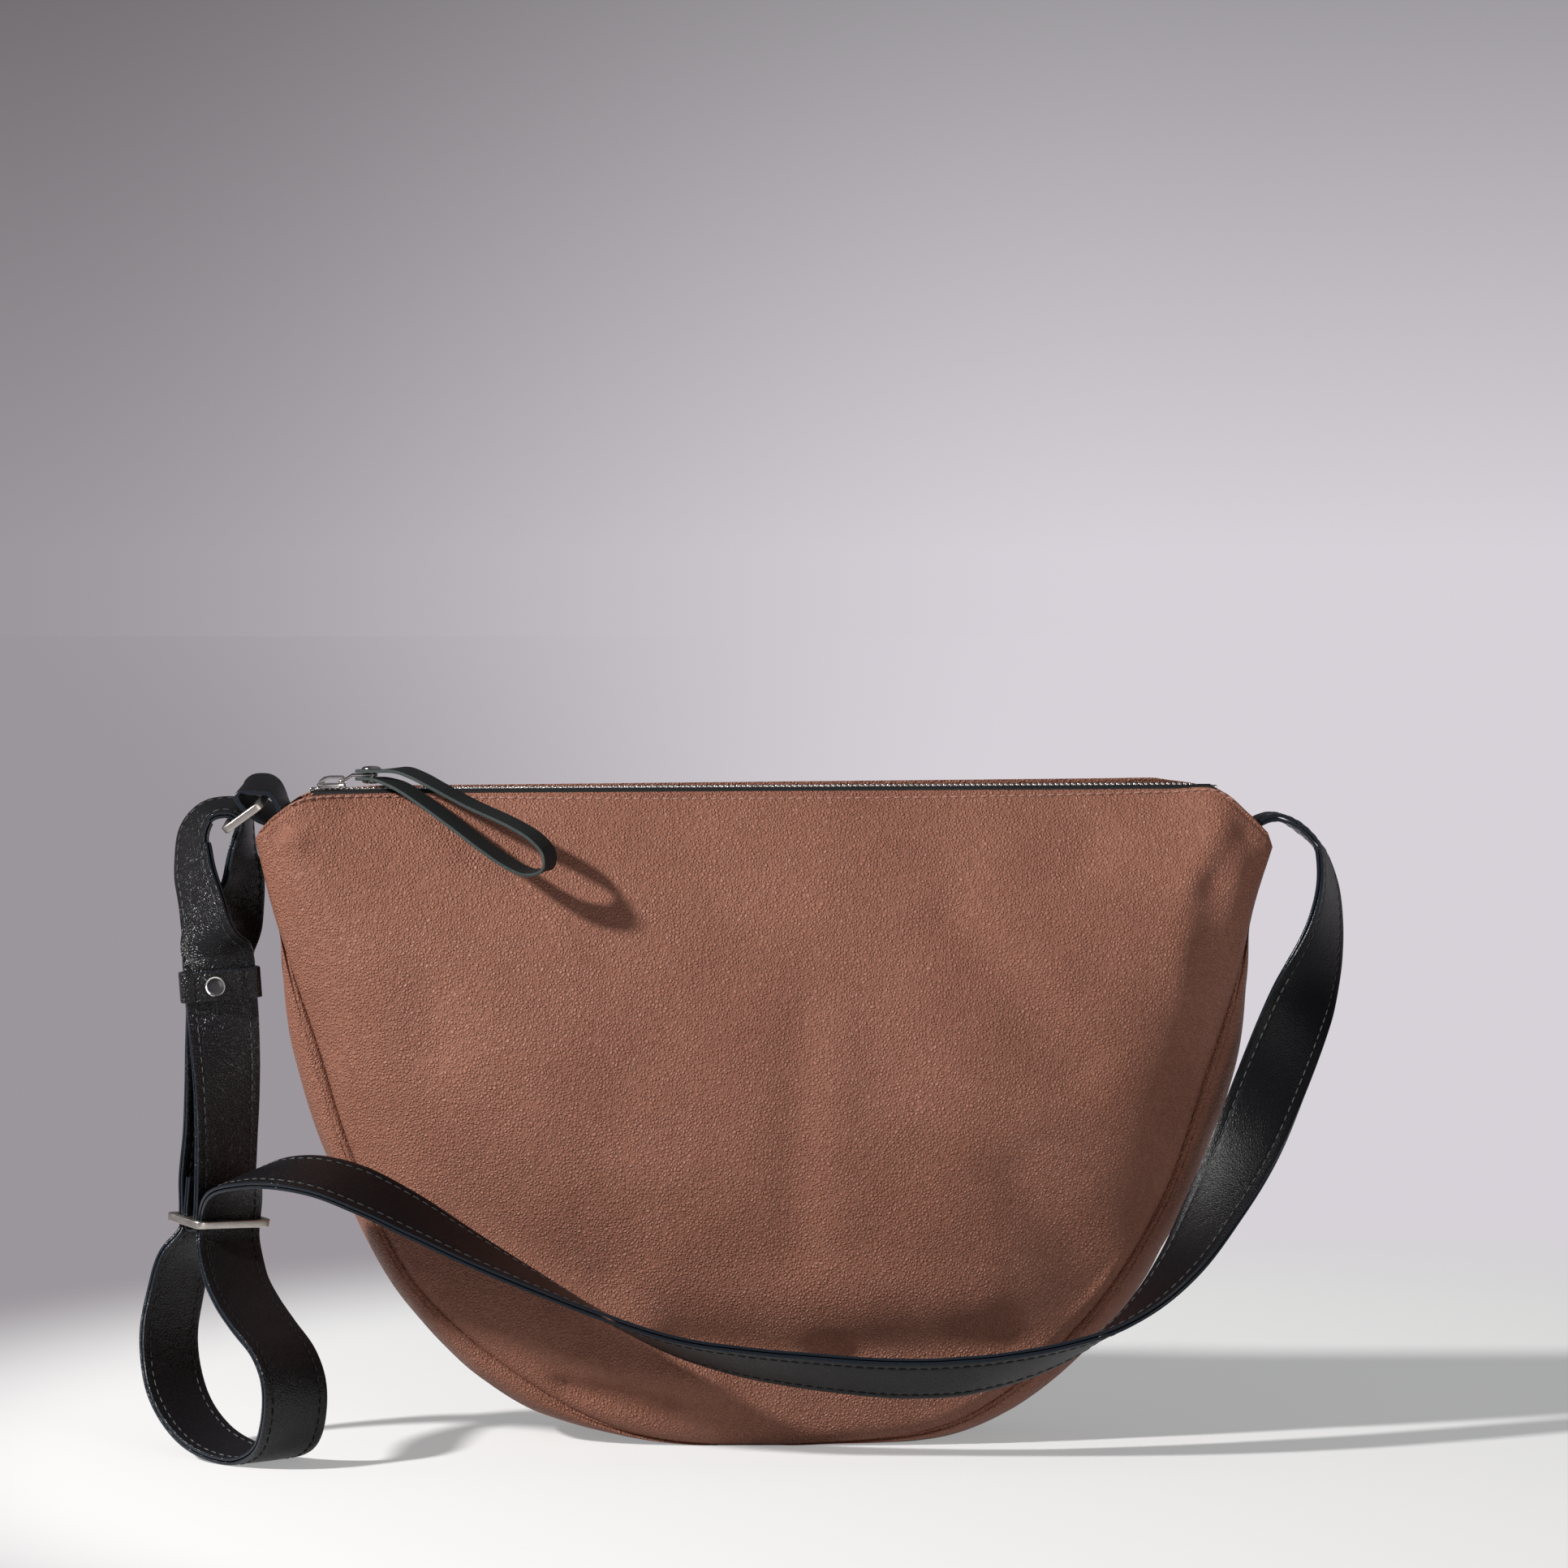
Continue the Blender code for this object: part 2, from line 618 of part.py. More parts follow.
def make_zip(tape, metal):
    make_comb("zip_teeth_front", -1, metal)
    make_comb("zip_teeth_back", 1, metal)
    make_tape("zip_tape_front", -1, tape)
    make_tape("zip_tape_back", 1, tape)
    for name, side in (("zip_stop_left", -1), ("zip_stop_right", 1)):
        half = COMB_HEIGHT / 2
        stop = box(name, (0, -COMB_HALF, -half), (STOP_LENGTH, COMB_HALF, half), metal)
        reach = ZIP_LENGTH / 2 + GAP
        on_zip(stop, reach if side > 0 else -reach - STOP_LENGTH)


SLIDER_X = -ZIP_LENGTH / 2
CHANNEL_HALF = COMB_HALF + SLIDER_CHANNEL_GAP
CHANNEL_HIGH = COMB_HEIGHT / 2 + SLIDER_CHANNEL_GAP
SLIDER_HALF = CHANNEL_HALF + SLIDER_LIP
SLIDER_HIGH = CHANNEL_HIGH + SLIDER_PLATE
SLOT_HIGH = TAPE_THICK / 2 + SLIDER_CHANNEL_GAP
BRIDGE_TOP = SLIDER_HIGH + BRIDGE_ROOM + BRIDGE_THICK
LINK_X = SLIDER_LENGTH - BRIDGE_THICK - (BRIDGE_ROOM - LINK_WIRE) / 2 - LINK_WIRE
LINK_HIGH = SLIDER_HIGH + BRIDGE_ROOM / 2
RIVET_X = LINK_X + LINK_REACH


def make_slider(metal):
    """Two plates round the teeth, joined by a neck, with a bridge on top for the puller."""
    top = (SLIDER_LENGTH, SLIDER_HALF, SLIDER_HIGH)
    under = (SLIDER_LENGTH, SLIDER_HALF, -CHANNEL_HIGH)
    body = box("zip_slider", (0, -SLIDER_HALF, CHANNEL_HIGH), top, metal)
    guides = [
        box("slider_plate", (0, -SLIDER_HALF, -SLIDER_HIGH), under, metal),
        box(
            "slider_neck",
            (0, -NECK_THICK / 2, -CHANNEL_HIGH - SLIDER_PLATE / 2),
            (NECK_LENGTH, NECK_THICK / 2, CHANNEL_HIGH + SLIDER_PLATE / 2),
            metal,
        ),
    ]
    for side in (-1, 1):
        for level in (-1, 1):
            ys = sorted((side * CHANNEL_HALF, side * SLIDER_HALF))
            zs = sorted((level * SLOT_HIGH, level * (CHANNEL_HIGH + SLIDER_PLATE / 2)))
            guides.append(box("slider_lip", (0, ys[0], zs[0]), (SLIDER_LENGTH, ys[1], zs[1]), metal))
    bridge = box(
        "slider_bridge",
        (0, -BRIDGE_WIDTH / 2, SLIDER_HIGH - SLIDER_PLATE / 2),
        (SLIDER_LENGTH, BRIDGE_WIDTH / 2, BRIDGE_TOP),
        metal,
    )
    soften(bridge, BRIDGE_THICK)
    window = box(
        "slider_window",
        (BRIDGE_THICK * 2, -SLIDER_HALF, SLIDER_HIGH),
        (SLIDER_LENGTH - BRIDGE_THICK, SLIDER_HALF, SLIDER_HIGH + BRIDGE_ROOM),
        metal,
    )
    for guide in guides:
        combine(body, guide, "UNION")
    combine(bridge, window, "DIFFERENCE")
    combine(body, bridge, "UNION")
    everything = [*guides, bridge, window]
    for guide in everything:
        guide.parent = body
    on_zip(body, SLIDER_X)


def zip_point(x, y, z):
    """A point given in the slider's own frame, in world coordinates."""
    tilt = math.atan2(ZIP_RISE, ZIP_LENGTH)
    origin = np.array([SLIDER_X, 0, zip_height(SLIDER_X)])
    along = np.array([math.cos(tilt), 0, math.sin(tilt)])
    up = np.array([-math.sin(tilt), 0, math.cos(tilt)])
    return origin + x * along + np.array([0, y, 0]) + z * up


RIVET_PLACE = zip_point(RIVET_X, 0, LINK_HIGH + LINK_RISE)


def make_puller(leather, metal, steel):
    """The wire link in the bridge, and the leather loop riveted through it."""
    half = max(BRIDGE_WIDTH / 2, RIVET_POST_RADIUS) + SLIDER_CHANNEL_GAP + LINK_WIRE / 2
    corner = half / 2
    high = LINK_HIGH + LINK_RISE
    path = [
        (LINK_X + corner, -half, LINK_HIGH),
        (LINK_X, -half + corner, LINK_HIGH),
        (LINK_X, half - corner, LINK_HIGH),
        (LINK_X + corner, half, LINK_HIGH),
        (LINK_X + LINK_BEND, half, high),
    ]
    turns = 6
    for step in range(turns + 1):
        angle = math.pi * step / turns
        path.append((RIVET_X + half * math.sin(angle), half * math.cos(angle), high))
    path.append((LINK_X + LINK_BEND, -half, high))
    path = [zip_point(*place) for place in path]
    curve = bpy.data.curves.new("puller_link", "CURVE")
    curve.dimensions = "3D"
    curve.bevel_depth = LINK_WIRE / 2
    curve.bevel_resolution = LINK_SIDES_RESOLUTION
    spline = curve.splines.new("POLY")
    spline.points.add(len(path) - 1)
    for point, place in zip(spline.points, path):
        point.co = (*place, 1)
    spline.use_cyclic_u = True
    curve.materials.append(steel)
    link = bpy.data.objects.new("puller_link", curve)
    bpy.context.scene.collection.objects.link(link)
    pivot_at(link, zip_point(LINK_X, 0, LINK_HIGH))

    spread = LINK_WIRE / 2 + GAP + PULL_THICK / 2
    aim = unit(np.array(PULL_ROUTE_SHARES[0]) * (1, 1, 0)) * (RIVET_CAP_RADIUS + GAP)
    lift = np.array([0, 0, spread])
    rows = [lift - aim, lift, lift + aim]
    rows += [np.array(shares) * PULL_REACH for shares in PULL_ROUTE_SHARES]
    rows += [aim - lift, -lift, -lift - aim]
    rows = RIVET_PLACE + smooth_route(rows, PULL_WIDTH / 2)
    flat = np.clip((rows[:, :1] - RIVET_PLACE[0]) / PULL_WIDTH - PULL_LEVEL_SHARE, 0, 1)
    level = unit(np.cross((0, 0, 1), aim))
    across = unit(level * (1 - flat) + np.array(PULL_ACROSS) * flat)
    corners = band_edges(rows, across, PULL_WIDTH / 2, -PULL_THICK / 2, PULL_THICK / 2)
    pull = pivot_at(strip("leather_pull", corners, leather), RIVET_PLACE)
    hole = RIVET_POST_RADIUS + GAP
    tall = spread + PULL_THICK
    drill = turned("pull_hole", ((0, -tall), (hole, -tall), (hole, tall), (0, tall)), leather)
    drill.location = RIVET_PLACE
    combine(pull, drill, "DIFFERENCE")

    seat = spread + PULL_THICK / 2 + GAP
    crown = seat + RIVET_CAP_HEIGHT
    edge = RIVET_CAP_HEIGHT / 2
    cap = turned(
        "pull_rivet_cap",
        (
            (0, -seat),
            (RIVET_POST_RADIUS, -seat),
            (RIVET_POST_RADIUS, seat),
            (RIVET_CAP_RADIUS, seat),
            (RIVET_CAP_RADIUS, seat + edge),
            (RIVET_CAP_RADIUS - edge, crown),
            (0, crown),
        ),
        metal,
    )
    cap.location = RIVET_PLACE
    low = -seat - GAP
    base = turned(
        "pull_rivet_base",
        (
            (0, low - RIVET_CAP_HEIGHT),
            (RIVET_CAP_RADIUS - edge, low - RIVET_CAP_HEIGHT),
            (RIVET_CAP_RADIUS, low - edge),
            (RIVET_CAP_RADIUS, low),
            (0, low),
        ),
        metal,
    )
    base.location = RIVET_PLACE


# Strap hardware

RING_FRAME = frame_of(RING_PLACE_SHARES, RING_LONG, RING_SHORT_WAY)
KEEPER_FRAME = frame_of(KEEPER_PLACE_SHARES, KEEPER_ACROSS, KEEPER_UP)
BUCKLE_FRAME = frame_of(BUCKLE_PLACE_SHARES, BUCKLE_LONG, np.cross(BUCKLE_LONG, BUCKLE_STACK))
FOLD_OFFSET = BUCKLE_BAR / 2 + FOLD_ROOM + STRAP_THICK / 2
SLOT_OFFSET = FOLD_OFFSET + STRAP_THICK + BUCKLE_ROOM
SIDE_BAR_OFFSET = SLOT_OFFSET + STRAP_THICK / 2 + BUCKLE_ROOM + BUCKLE_BAR / 2
BUCKLE_HALF_LONG = STRAP_WIDTH / 2 + BUCKLE_ROOM + BUCKLE_BAR
PLY_OFFSET = (STRAP_THICK + PLY_GAP) / 2


def make_tab_and_ring(leather, steel):
    rows = np.array([(x * HALF_WIDTH, 0, z * BAG_HEIGHT) for x, z in TAB_ROUTE_SHARES])
    rows = smooth_route(rows, STRAP_STEP / 3)
    across = np.tile(RING_FRAME[1], (len(rows), 1))
    sewn = rows[0, 0]
    lean = np.clip((sewn - rows[:, :1]) / (sewn - RING_FRAME[0][0]), 0, 1)
    across = unit(across * lean + np.array([0, 1, 0]) * (1 - lean))
    corners = band_edges(rows, across, TAB_WIDTH / 2, -TAB_THICK / 2, TAB_THICK / 2)
    strip("left_tab", corners, leather)

    half_long = STRAP_WIDTH / 2 + RING_SIDE_GAP + RING_BAR
    bar = RING_BAR / 2
    ring = box("strap_ring", (-half_long, -bar, bar - RING_SHORT), (half_long, bar, bar), steel)
    inner = half_long - RING_BAR
    hole = box("ring_hole", (-inner, -RING_BAR, bar + RING_BAR - RING_SHORT), (inner, RING_BAR, -bar), steel)
    combine(ring, hole, "DIFFERENCE")
    soften(ring, METAL_EDGE)
    set_frame(ring, *RING_FRAME)
    hole.parent = ring


def make_keeper(leather, black, metal):
    """A band round both plies whose ends lap in front under the snap."""
    half_wide = STRAP_WIDTH / 2 + KEEPER_ROOM + KEEPER_THICK / 2
    half_deep = PLY_OFFSET + STRAP_THICK / 2 + KEEPER_ROOM + KEEPER_THICK / 2
    lap_x = SNAP_PLACE_SHARE * STRAP_WIDTH
    over = KEEPER_THICK + GAP
    cut = KEEPER_CORNER
    end = lap_x + KEEPER_LAP / 2
    path = [
        (end, -half_deep),
        (cut - half_wide, -half_deep),
        (-half_wide, cut - half_deep),
        (-half_wide, half_deep - cut),
        (cut - half_wide, half_deep),
        (half_wide - cut, half_deep),
        (half_wide, half_deep - cut),
        (half_wide, cut - half_deep),
        (half_wide - cut, -half_deep),
        (end + KEEPER_RAMP, -half_deep),
        (end + over, -half_deep - over),
        (end - KEEPER_LAP, -half_deep - over),
    ]
    rows = [(x, y, 0) for x, y in path]
    across = np.tile((0, 0, 1), (len(rows), 1))
    corners = band_edges(rows, across, KEEPER_HEIGHT / 2, -KEEPER_THICK / 2, KEEPER_THICK / 2)
    band = strip("keeper_band", corners, leather)
    set_frame(band, *KEEPER_FRAME)

    centre, across, through, up = KEEPER_FRAME
    seat = half_deep + over + KEEPER_THICK / 2 + GAP
    front = centre + across * lap_x - through * seat
    face = SNAP_RADIUS - SNAP_RIM
    rim = turned(
        "keeper_snap_rim",
        (
            (0, 0),
            (SNAP_RADIUS, 0),
            (SNAP_RADIUS, SNAP_HEIGHT - SNAP_RIM / 2),
            (SNAP_RADIUS - SNAP_RIM / 2, SNAP_HEIGHT),
            (face, SNAP_HEIGHT),
            (face, SNAP_HEIGHT / 2),
            (0, SNAP_HEIGHT / 2),
        ),
        metal,
    )
    set_frame(rim, front, across, up, -through)
    face -= GAP
    cap = turned(
        "keeper_snap_face",
        ((0, SNAP_HEIGHT / 2 + GAP), (face, SNAP_HEIGHT / 2 + GAP), (face, SNAP_HEIGHT), (0, SNAP_HEIGHT)),
        black,
    )
    set_frame(cap, front, across, up, -through)


def make_buckle(steel):
    bar = BUCKLE_BAR / 2
    deep = SIDE_BAR_OFFSET + bar
    frame = box("buckle_frame", (-BUCKLE_HALF_LONG, -deep, -bar), (BUCKLE_HALF_LONG, deep, bar), steel)
    holes = []
    inner = BUCKLE_HALF_LONG - BUCKLE_BAR
    for side in (-1, 1):
        ys = sorted((side * bar, side * (SIDE_BAR_OFFSET - bar)))
        holes.append(box("buckle_slot", (-inner, ys[0], -BUCKLE_BAR), (inner, ys[1], BUCKLE_BAR), steel))
    for hole in holes:
        combine(frame, hole, "DIFFERENCE")
    soften(frame, METAL_EDGE)
    set_frame(frame, *BUCKLE_FRAME)
    for hole in holes:
        hole.parent = frame


# Strap


def framed(frame, height, through, turned_round=False):
    """A route row at a place in a hardware frame."""
    centre, across, away, up = frame
    way = -across if turned_round else across
    return [*(centre + away * through + up * height), *way]


def strap_route():
    """Rows (place, direction across) from the folded end on the buckle to the sewn right end."""
    heights = (TAIL_LENGTH, TAIL_LENGTH / 2, BUCKLE_BAR)
    rows = [framed(BUCKLE_FRAME, height, FOLD_OFFSET, True) for height in heights]
    for step in range(BEND_STEPS + 1):
        angle = math.pi * step / BEND_STEPS
        rows.append(framed(BUCKLE_FRAME, -FOLD_OFFSET * math.sin(angle), FOLD_OFFSET * math.cos(angle), True))
    rows += [framed(BUCKLE_FRAME, height, -FOLD_OFFSET, True) for height in (BUCKLE_BAR, TAIL_LENGTH / 3)]
    front = placed(PLY_SHARES)
    front[:, 3:] *= -1
    rows += front.tolist()
    heights = (-KEEPER_STRAIGHT, -KEEPER_INSIDE, KEEPER_INSIDE, KEEPER_STRAIGHT)
    rows += [framed(KEEPER_FRAME, height, -PLY_OFFSET, True) for height in heights]
    bight = np.array(BIGHT_SHARES)
    bight[:, :3] = RING_FRAME[0] + bight[:, :3] * STRAP_WIDTH
    over = np.vstack([placed(FRONT_PLY_SHARES), bight, placed(BACK_PLY_SHARES)])
    over[:, 3:] *= -1
    rows += over.tolist()
    rows += [framed(KEEPER_FRAME, height, PLY_OFFSET) for height in reversed(heights)]
    back = placed(PLY_SHARES)
    away = BUCKLE_FRAME[2]
    for row, spread in zip(back, PLY_SPREAD_SHARES):
        row[:3] += away * spread * STRAP_THICK
    rows += back[::-1].tolist()
    rows += [framed(BUCKLE_FRAME, height, SLOT_OFFSET) for height in (BUCKLE_BAR * 2, -BUCKLE_BAR * 2)]
    rows += placed(LOOP_SHARES).tolist()
    rows += [framed(BUCKLE_FRAME, height, -SLOT_OFFSET) for height in (-BUCKLE_BAR * 2, BUCKLE_BAR)]
    rows += placed(RUN_SHARES).tolist()
    return np.array(rows)


def make_strap(leather):
    rows = smooth_route(strap_route(), STRAP_STEP)
    half = STRAP_WIDTH / 2
    for name, low in (("strap_outer_leather", GAP / 2), ("strap_inner_leather", -GAP / 2 - STRAP_LAYER)):
        strip(name, band_edges(rows[:, :3], rows[:, 3:], half, low, low + STRAP_LAYER), leather)


def main():
    clear_scene()
    brown = material("brown_leather", (0.42, 0.21, 0.13), 0.55)
    black = material("black_leather", (0.02, 0.018, 0.02), 0.45)
    raw = material("pull_leather", (0.06, 0.065, 0.065), 0.7)
    cloth = material("lining_cloth", (0.08, 0.07, 0.065), 0.9)
    tape = material("zip_tape", (0.02, 0.02, 0.02), 0.85)
    nickel = material("polished_nickel", (0.80, 0.77, 0.74), 0.18, 1.0)
    steel = material("brushed_nickel", (0.55, 0.51, 0.46), 0.35, 1.0)
    lacquer = material("black_lacquer", (0.012, 0.012, 0.013), 0.25)
    make_body(brown, cloth)
    make_zip(tape, nickel)
    make_slider(nickel)
    make_puller(raw, nickel, nickel)
    make_tab_and_ring(black, steel)
    make_keeper(black, lacquer, nickel)
    make_buckle(steel)
    make_strap(black)


main()
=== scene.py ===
import math

import bmesh
import bpy
import numpy as np
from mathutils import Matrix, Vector, noise


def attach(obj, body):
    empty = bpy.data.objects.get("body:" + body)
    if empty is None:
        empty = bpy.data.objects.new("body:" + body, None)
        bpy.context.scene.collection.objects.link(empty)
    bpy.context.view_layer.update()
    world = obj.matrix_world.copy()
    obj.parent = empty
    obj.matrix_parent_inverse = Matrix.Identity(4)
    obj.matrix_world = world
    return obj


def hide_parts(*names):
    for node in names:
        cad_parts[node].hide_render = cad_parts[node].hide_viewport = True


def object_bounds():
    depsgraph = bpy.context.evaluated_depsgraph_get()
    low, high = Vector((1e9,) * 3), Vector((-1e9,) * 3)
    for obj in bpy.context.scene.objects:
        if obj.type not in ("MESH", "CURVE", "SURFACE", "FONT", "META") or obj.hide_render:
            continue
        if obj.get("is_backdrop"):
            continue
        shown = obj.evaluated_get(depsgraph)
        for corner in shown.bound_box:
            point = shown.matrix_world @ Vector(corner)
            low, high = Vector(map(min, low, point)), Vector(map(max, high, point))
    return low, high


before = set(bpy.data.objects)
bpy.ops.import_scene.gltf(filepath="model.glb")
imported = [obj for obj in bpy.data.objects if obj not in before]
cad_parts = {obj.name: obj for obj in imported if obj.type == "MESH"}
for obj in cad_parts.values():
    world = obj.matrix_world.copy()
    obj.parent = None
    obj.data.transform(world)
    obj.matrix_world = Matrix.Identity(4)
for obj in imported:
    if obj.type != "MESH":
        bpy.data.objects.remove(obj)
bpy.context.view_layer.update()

MM = 0.001


# Camera
# A long lens at table height looks straight at the front of the bag, a little from above. The bag fills the
# lower half of a square frame of 1932 by 1932.

EYE = (0.008, -2.078, 0.3485)
AIM = (0.008, 0, 0.2575)
LENS_MM = 121.1
SENSOR_MM = 36
camera = bpy.data.objects.new("camera", bpy.data.cameras.new("camera"))
camera.data.lens = LENS_MM
camera.data.sensor_width = SENSOR_MM
camera.location = EYE
camera.rotation_euler = (Vector(AIM) - Vector(EYE)).to_track_quat("-Z", "Y").to_euler()
bpy.context.scene.collection.objects.link(camera)
bpy.context.scene.camera = camera
bpy.context.scene.view_settings.view_transform = "Standard"


# Studio
# A pale floor runs out into a grey backdrop. The main lamp stands left, above and a little in front, and
# throws the shadow right and back. A weak, wide one stands in front on the right, and an even, weak light
# comes from all round.

FLOOR_SIZE = 40
FLOOR_NEAR = 0.36
FLOOR_FAR = 0.66
FLOOR_WHITE = 0.51
FLOOR_GLOW = 0.30
FLOOR_TURN = 0.35
BACKDROP_LEFT = (0.33, 0.306, 0.33)
BACKDROP_RIGHT = (0.68, 0.645, 0.69)
BACKDROP_SIDES = (-0.165, 0.0675)
BACKDROP_HIGH = 0.11
BACKDROP_DIM = 0.48
LAMP_WAY = Vector((-0.75, -0.38, 0.54))
LAMP_DISTANCE = 2.6
LAMP_AIM = 0.12
LAMP_SIZE = 0.21
LAMP_POWER = 110
FILL_LIGHT = 0.165
SHEEN_LIGHT = 0.42
SIDE_LAMP_PLACE = Vector((0.95, -1.45, 0.42))
SIDE_LAMP_SIZE = 0.8
SIDE_LAMP_POWER = 5.4
LAMP_COLOUR = (1.0, 0.98, 0.965)
FILL_COLOUR = (0.93, 0.96, 1.0, 1)


def add(tree, kind, inputs=(), **settings):
    """A node with its settings, and its inputs by name or number: a value is set, a socket is linked."""
    made = tree.nodes.new(kind)
    for name, value in settings.items():
        setattr(made, name, value)
    for name, value in dict(inputs).items():
        if isinstance(value, bpy.types.NodeSocket):
            tree.links.new(value, made.inputs[name])
        else:
            made.inputs[name].default_value = value
    return made


def blended(tree, share, first, second):
    """A colour between two, by a socket from 0 to 1."""
    colours = [value if isinstance(value, bpy.types.NodeSocket) else (*value, 1) for value in (first, second)]
    return add(tree, "ShaderNodeMix", {0: share, 6: colours[0], 7: colours[1]}, data_type="RGBA").outputs[2]


def ramp(tree, value, low, high, to_low=0.0, to_high=1.0, **settings):
    """A value moved from one range into another and held at its ends."""
    sizes = {"Value": value, "From Min": low, "From Max": high, "To Min": to_low, "To Max": to_high}
    return add(tree, "ShaderNodeMapRange", sizes, **settings).outputs["Result"]


def maths(tree, how, *values):
    """One sum on values or sockets."""
    return add(tree, "ShaderNodeMath", dict(enumerate(values)), operation=how).outputs[0]


def object_place(tree):
    """Places on the object itself, which the looks are tied to."""
    return add(tree, "ShaderNodeTexCoord").outputs["Object"]


def specks(tree, place, scale, detail):
    """Soft noise from 0 to 1."""
    return add(tree, "ShaderNodeTexNoise", {"Vector": place, "Scale": scale, "Detail": detail}).outputs[0]


def seen_share(tree, second="Is Transmission Ray"):
    """1 for what the camera sees, straight or by a second kind of ray, and 0 for light on the object."""
    path = add(tree, "ShaderNodeLightPath").outputs
    return maths(tree, "MAXIMUM", path["Is Camera Ray"], path[second])


def backdrop_colour(tree, place):
    """Grey that gets lighter to the right and darker upwards, by the way from the bag to a place."""
    way = add(tree, "ShaderNodeVectorMath", {0: place}, operation="NORMALIZE").outputs["Vector"]
    parts = add(tree, "ShaderNodeSeparateXYZ", {0: way}).outputs
    side = ramp(tree, parts["X"], *BACKDROP_SIDES, interpolation_type="SMOOTHSTEP")
    grey = blended(tree, side, BACKDROP_LEFT, BACKDROP_RIGHT)
    dark = ramp(tree, parts["Z"], 0.0, BACKDROP_HIGH, 1.0, BACKDROP_DIM)
    return add(tree, "ShaderNodeVectorMath", {0: grey, "Scale": dark}, operation="SCALE").outputs["Vector"]


floor_mesh = bpy.data.meshes.new("floor")
half = FLOOR_SIZE / 2
corners = [(-half, -half, 0), (half, -half, 0), (half, half, 0), (-half, half, 0)]
floor_mesh.from_pydata(corners, [], [(0, 1, 2, 3)])
floor = bpy.data.objects.new("floor", floor_mesh)
bpy.context.scene.collection.objects.link(floor)
floor_paper = bpy.data.materials.new("floor paper")
floor_paper.use_nodes = True
tree = floor_paper.node_tree
tree.nodes.clear()
place = object_place(tree)
along = add(tree, "ShaderNodeSeparateXYZ", {0: place}).outputs["X"]
apart = add(tree, "ShaderNodeVectorMath", {0: place}, operation="LENGTH").outputs["Value"]
reach = maths(tree, "MULTIPLY_ADD", along, -FLOOR_TURN, apart)
glow = ramp(tree, seen_share(tree, "Is Glossy Ray"), 0.0, 1.0, 0.0, FLOOR_GLOW)
lit = add(tree, "ShaderNodeAddShader", {
    0: add(tree, "ShaderNodeBsdfDiffuse", {"Color": (FLOOR_WHITE, FLOOR_WHITE, FLOOR_WHITE, 1)}).outputs[0],
    1: add(tree, "ShaderNodeEmission", {"Strength": glow}).outputs[0],
})
dim = add(tree, "ShaderNodeEmission", {"Color": backdrop_colour(tree, place)})
away = ramp(tree, reach, FLOOR_NEAR, FLOOR_FAR, interpolation_type="SMOOTHSTEP")
paper = add(tree, "ShaderNodeMixShader", {0: away, 1: lit.outputs[0], 2: dim.outputs[0]})
add(tree, "ShaderNodeOutputMaterial", {"Surface": paper.outputs[0]})
floor_mesh.materials.append(floor_paper)
floor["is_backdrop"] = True

world = bpy.data.worlds.new("backdrop")
bpy.context.scene.world = world
world.use_nodes = True
tree = world.node_tree
tree.nodes.clear()
wall = backdrop_colour(tree, add(tree, "ShaderNodeTexCoord").outputs["Generated"])
seen = seen_share(tree)
shown = add(tree, "ShaderNodeBackground", {"Color": wall})
fill = add(tree, "ShaderNodeBackground", {"Color": FILL_COLOUR, "Strength": FILL_LIGHT})
sheen = add(tree, "ShaderNodeBackground", {"Color": wall, "Strength": SHEEN_LIGHT})
glossy = add(tree, "ShaderNodeLightPath").outputs["Is Glossy Ray"]
unseen = add(tree, "ShaderNodeMixShader", {0: glossy, 1: fill.outputs[0], 2: sheen.outputs[0]})
both = add(tree, "ShaderNodeMixShader", {0: seen, 1: unseen.outputs[0], 2: shown.outputs[0]})
add(tree, "ShaderNodeOutputWorld", {"Surface": both.outputs[0]})

lamp_places = (
    ("soft lamp", Vector((0, 0, LAMP_AIM)) + LAMP_WAY.normalized() * LAMP_DISTANCE, LAMP_SIZE, LAMP_POWER),
    ("side lamp", SIDE_LAMP_PLACE, SIDE_LAMP_SIZE, SIDE_LAMP_POWER),
)
for name, place, size, power in lamp_places:
    lamp = bpy.data.objects.new(name, bpy.data.lights.new(name, "AREA"))
    lamp.data.shape = "DISK"
    lamp.data.size = size
    lamp.data.energy = power
    lamp.data.color = LAMP_COLOUR
    lamp.location = place
    lamp.rotation_euler = (Vector((0, 0, LAMP_AIM)) - place).to_track_quat("-Z", "Y").to_euler()
    bpy.context.scene.collection.objects.link(lamp)


# Front and back panel
# Two crescents of soft pebbled calf, 1.5 mm thick. The top edge is folded over at the zip and the round edge
# is turned in to the seam, and handling has left shallow dents and folds in the leather.

BAG_WIDTH = 0.400
BAG_HEIGHT = 0.2562
BAG_DEPTH = 0.092
HALF_WIDTH = BAG_WIDTH / 2
HALF_DEPTH = BAG_DEPTH / 2
PANEL_THICK = 0.0015
PANEL_COLUMNS = 230
PANEL_ROWS = 96
MOUTH_ROLL = 0.0010
MOUTH_SINK = 0.0006
SEAM_ROLL = 0.0075
SEAM_SINK = 0.0042
PUCKER = 0.00035
PUCKER_PITCH = 0.0075
PUCKER_RUN = 0.005
PUCKER_START = 0.002
CALM_AT_MOUTH = 0.012
CALM_AT_SEAM = 0.009
EVEN_SHARE = 0.35
ZIP_LENGTH = 0.352
ZIP_RISE = 0.002
FRONT_EDGE_DROP = 0.0012
BACK_EDGE_RISE = 0.0019
BACK_EDGE_TILT = 0.0045
END_RISE = 0.0011
END_RISE_X = 0.1750
END_RISE_SPREAD = 0.0095
BACK_RISE_END = 0.1715
BACK_RISE_RUN = 0.017
MOUTH_GROOVE = 0.0006
MOUTH_GROOVE_RUN = 0.0009
MOUTH_STITCH_DROP = 0.0022
BELLY_LOW_SHARE = 0.92
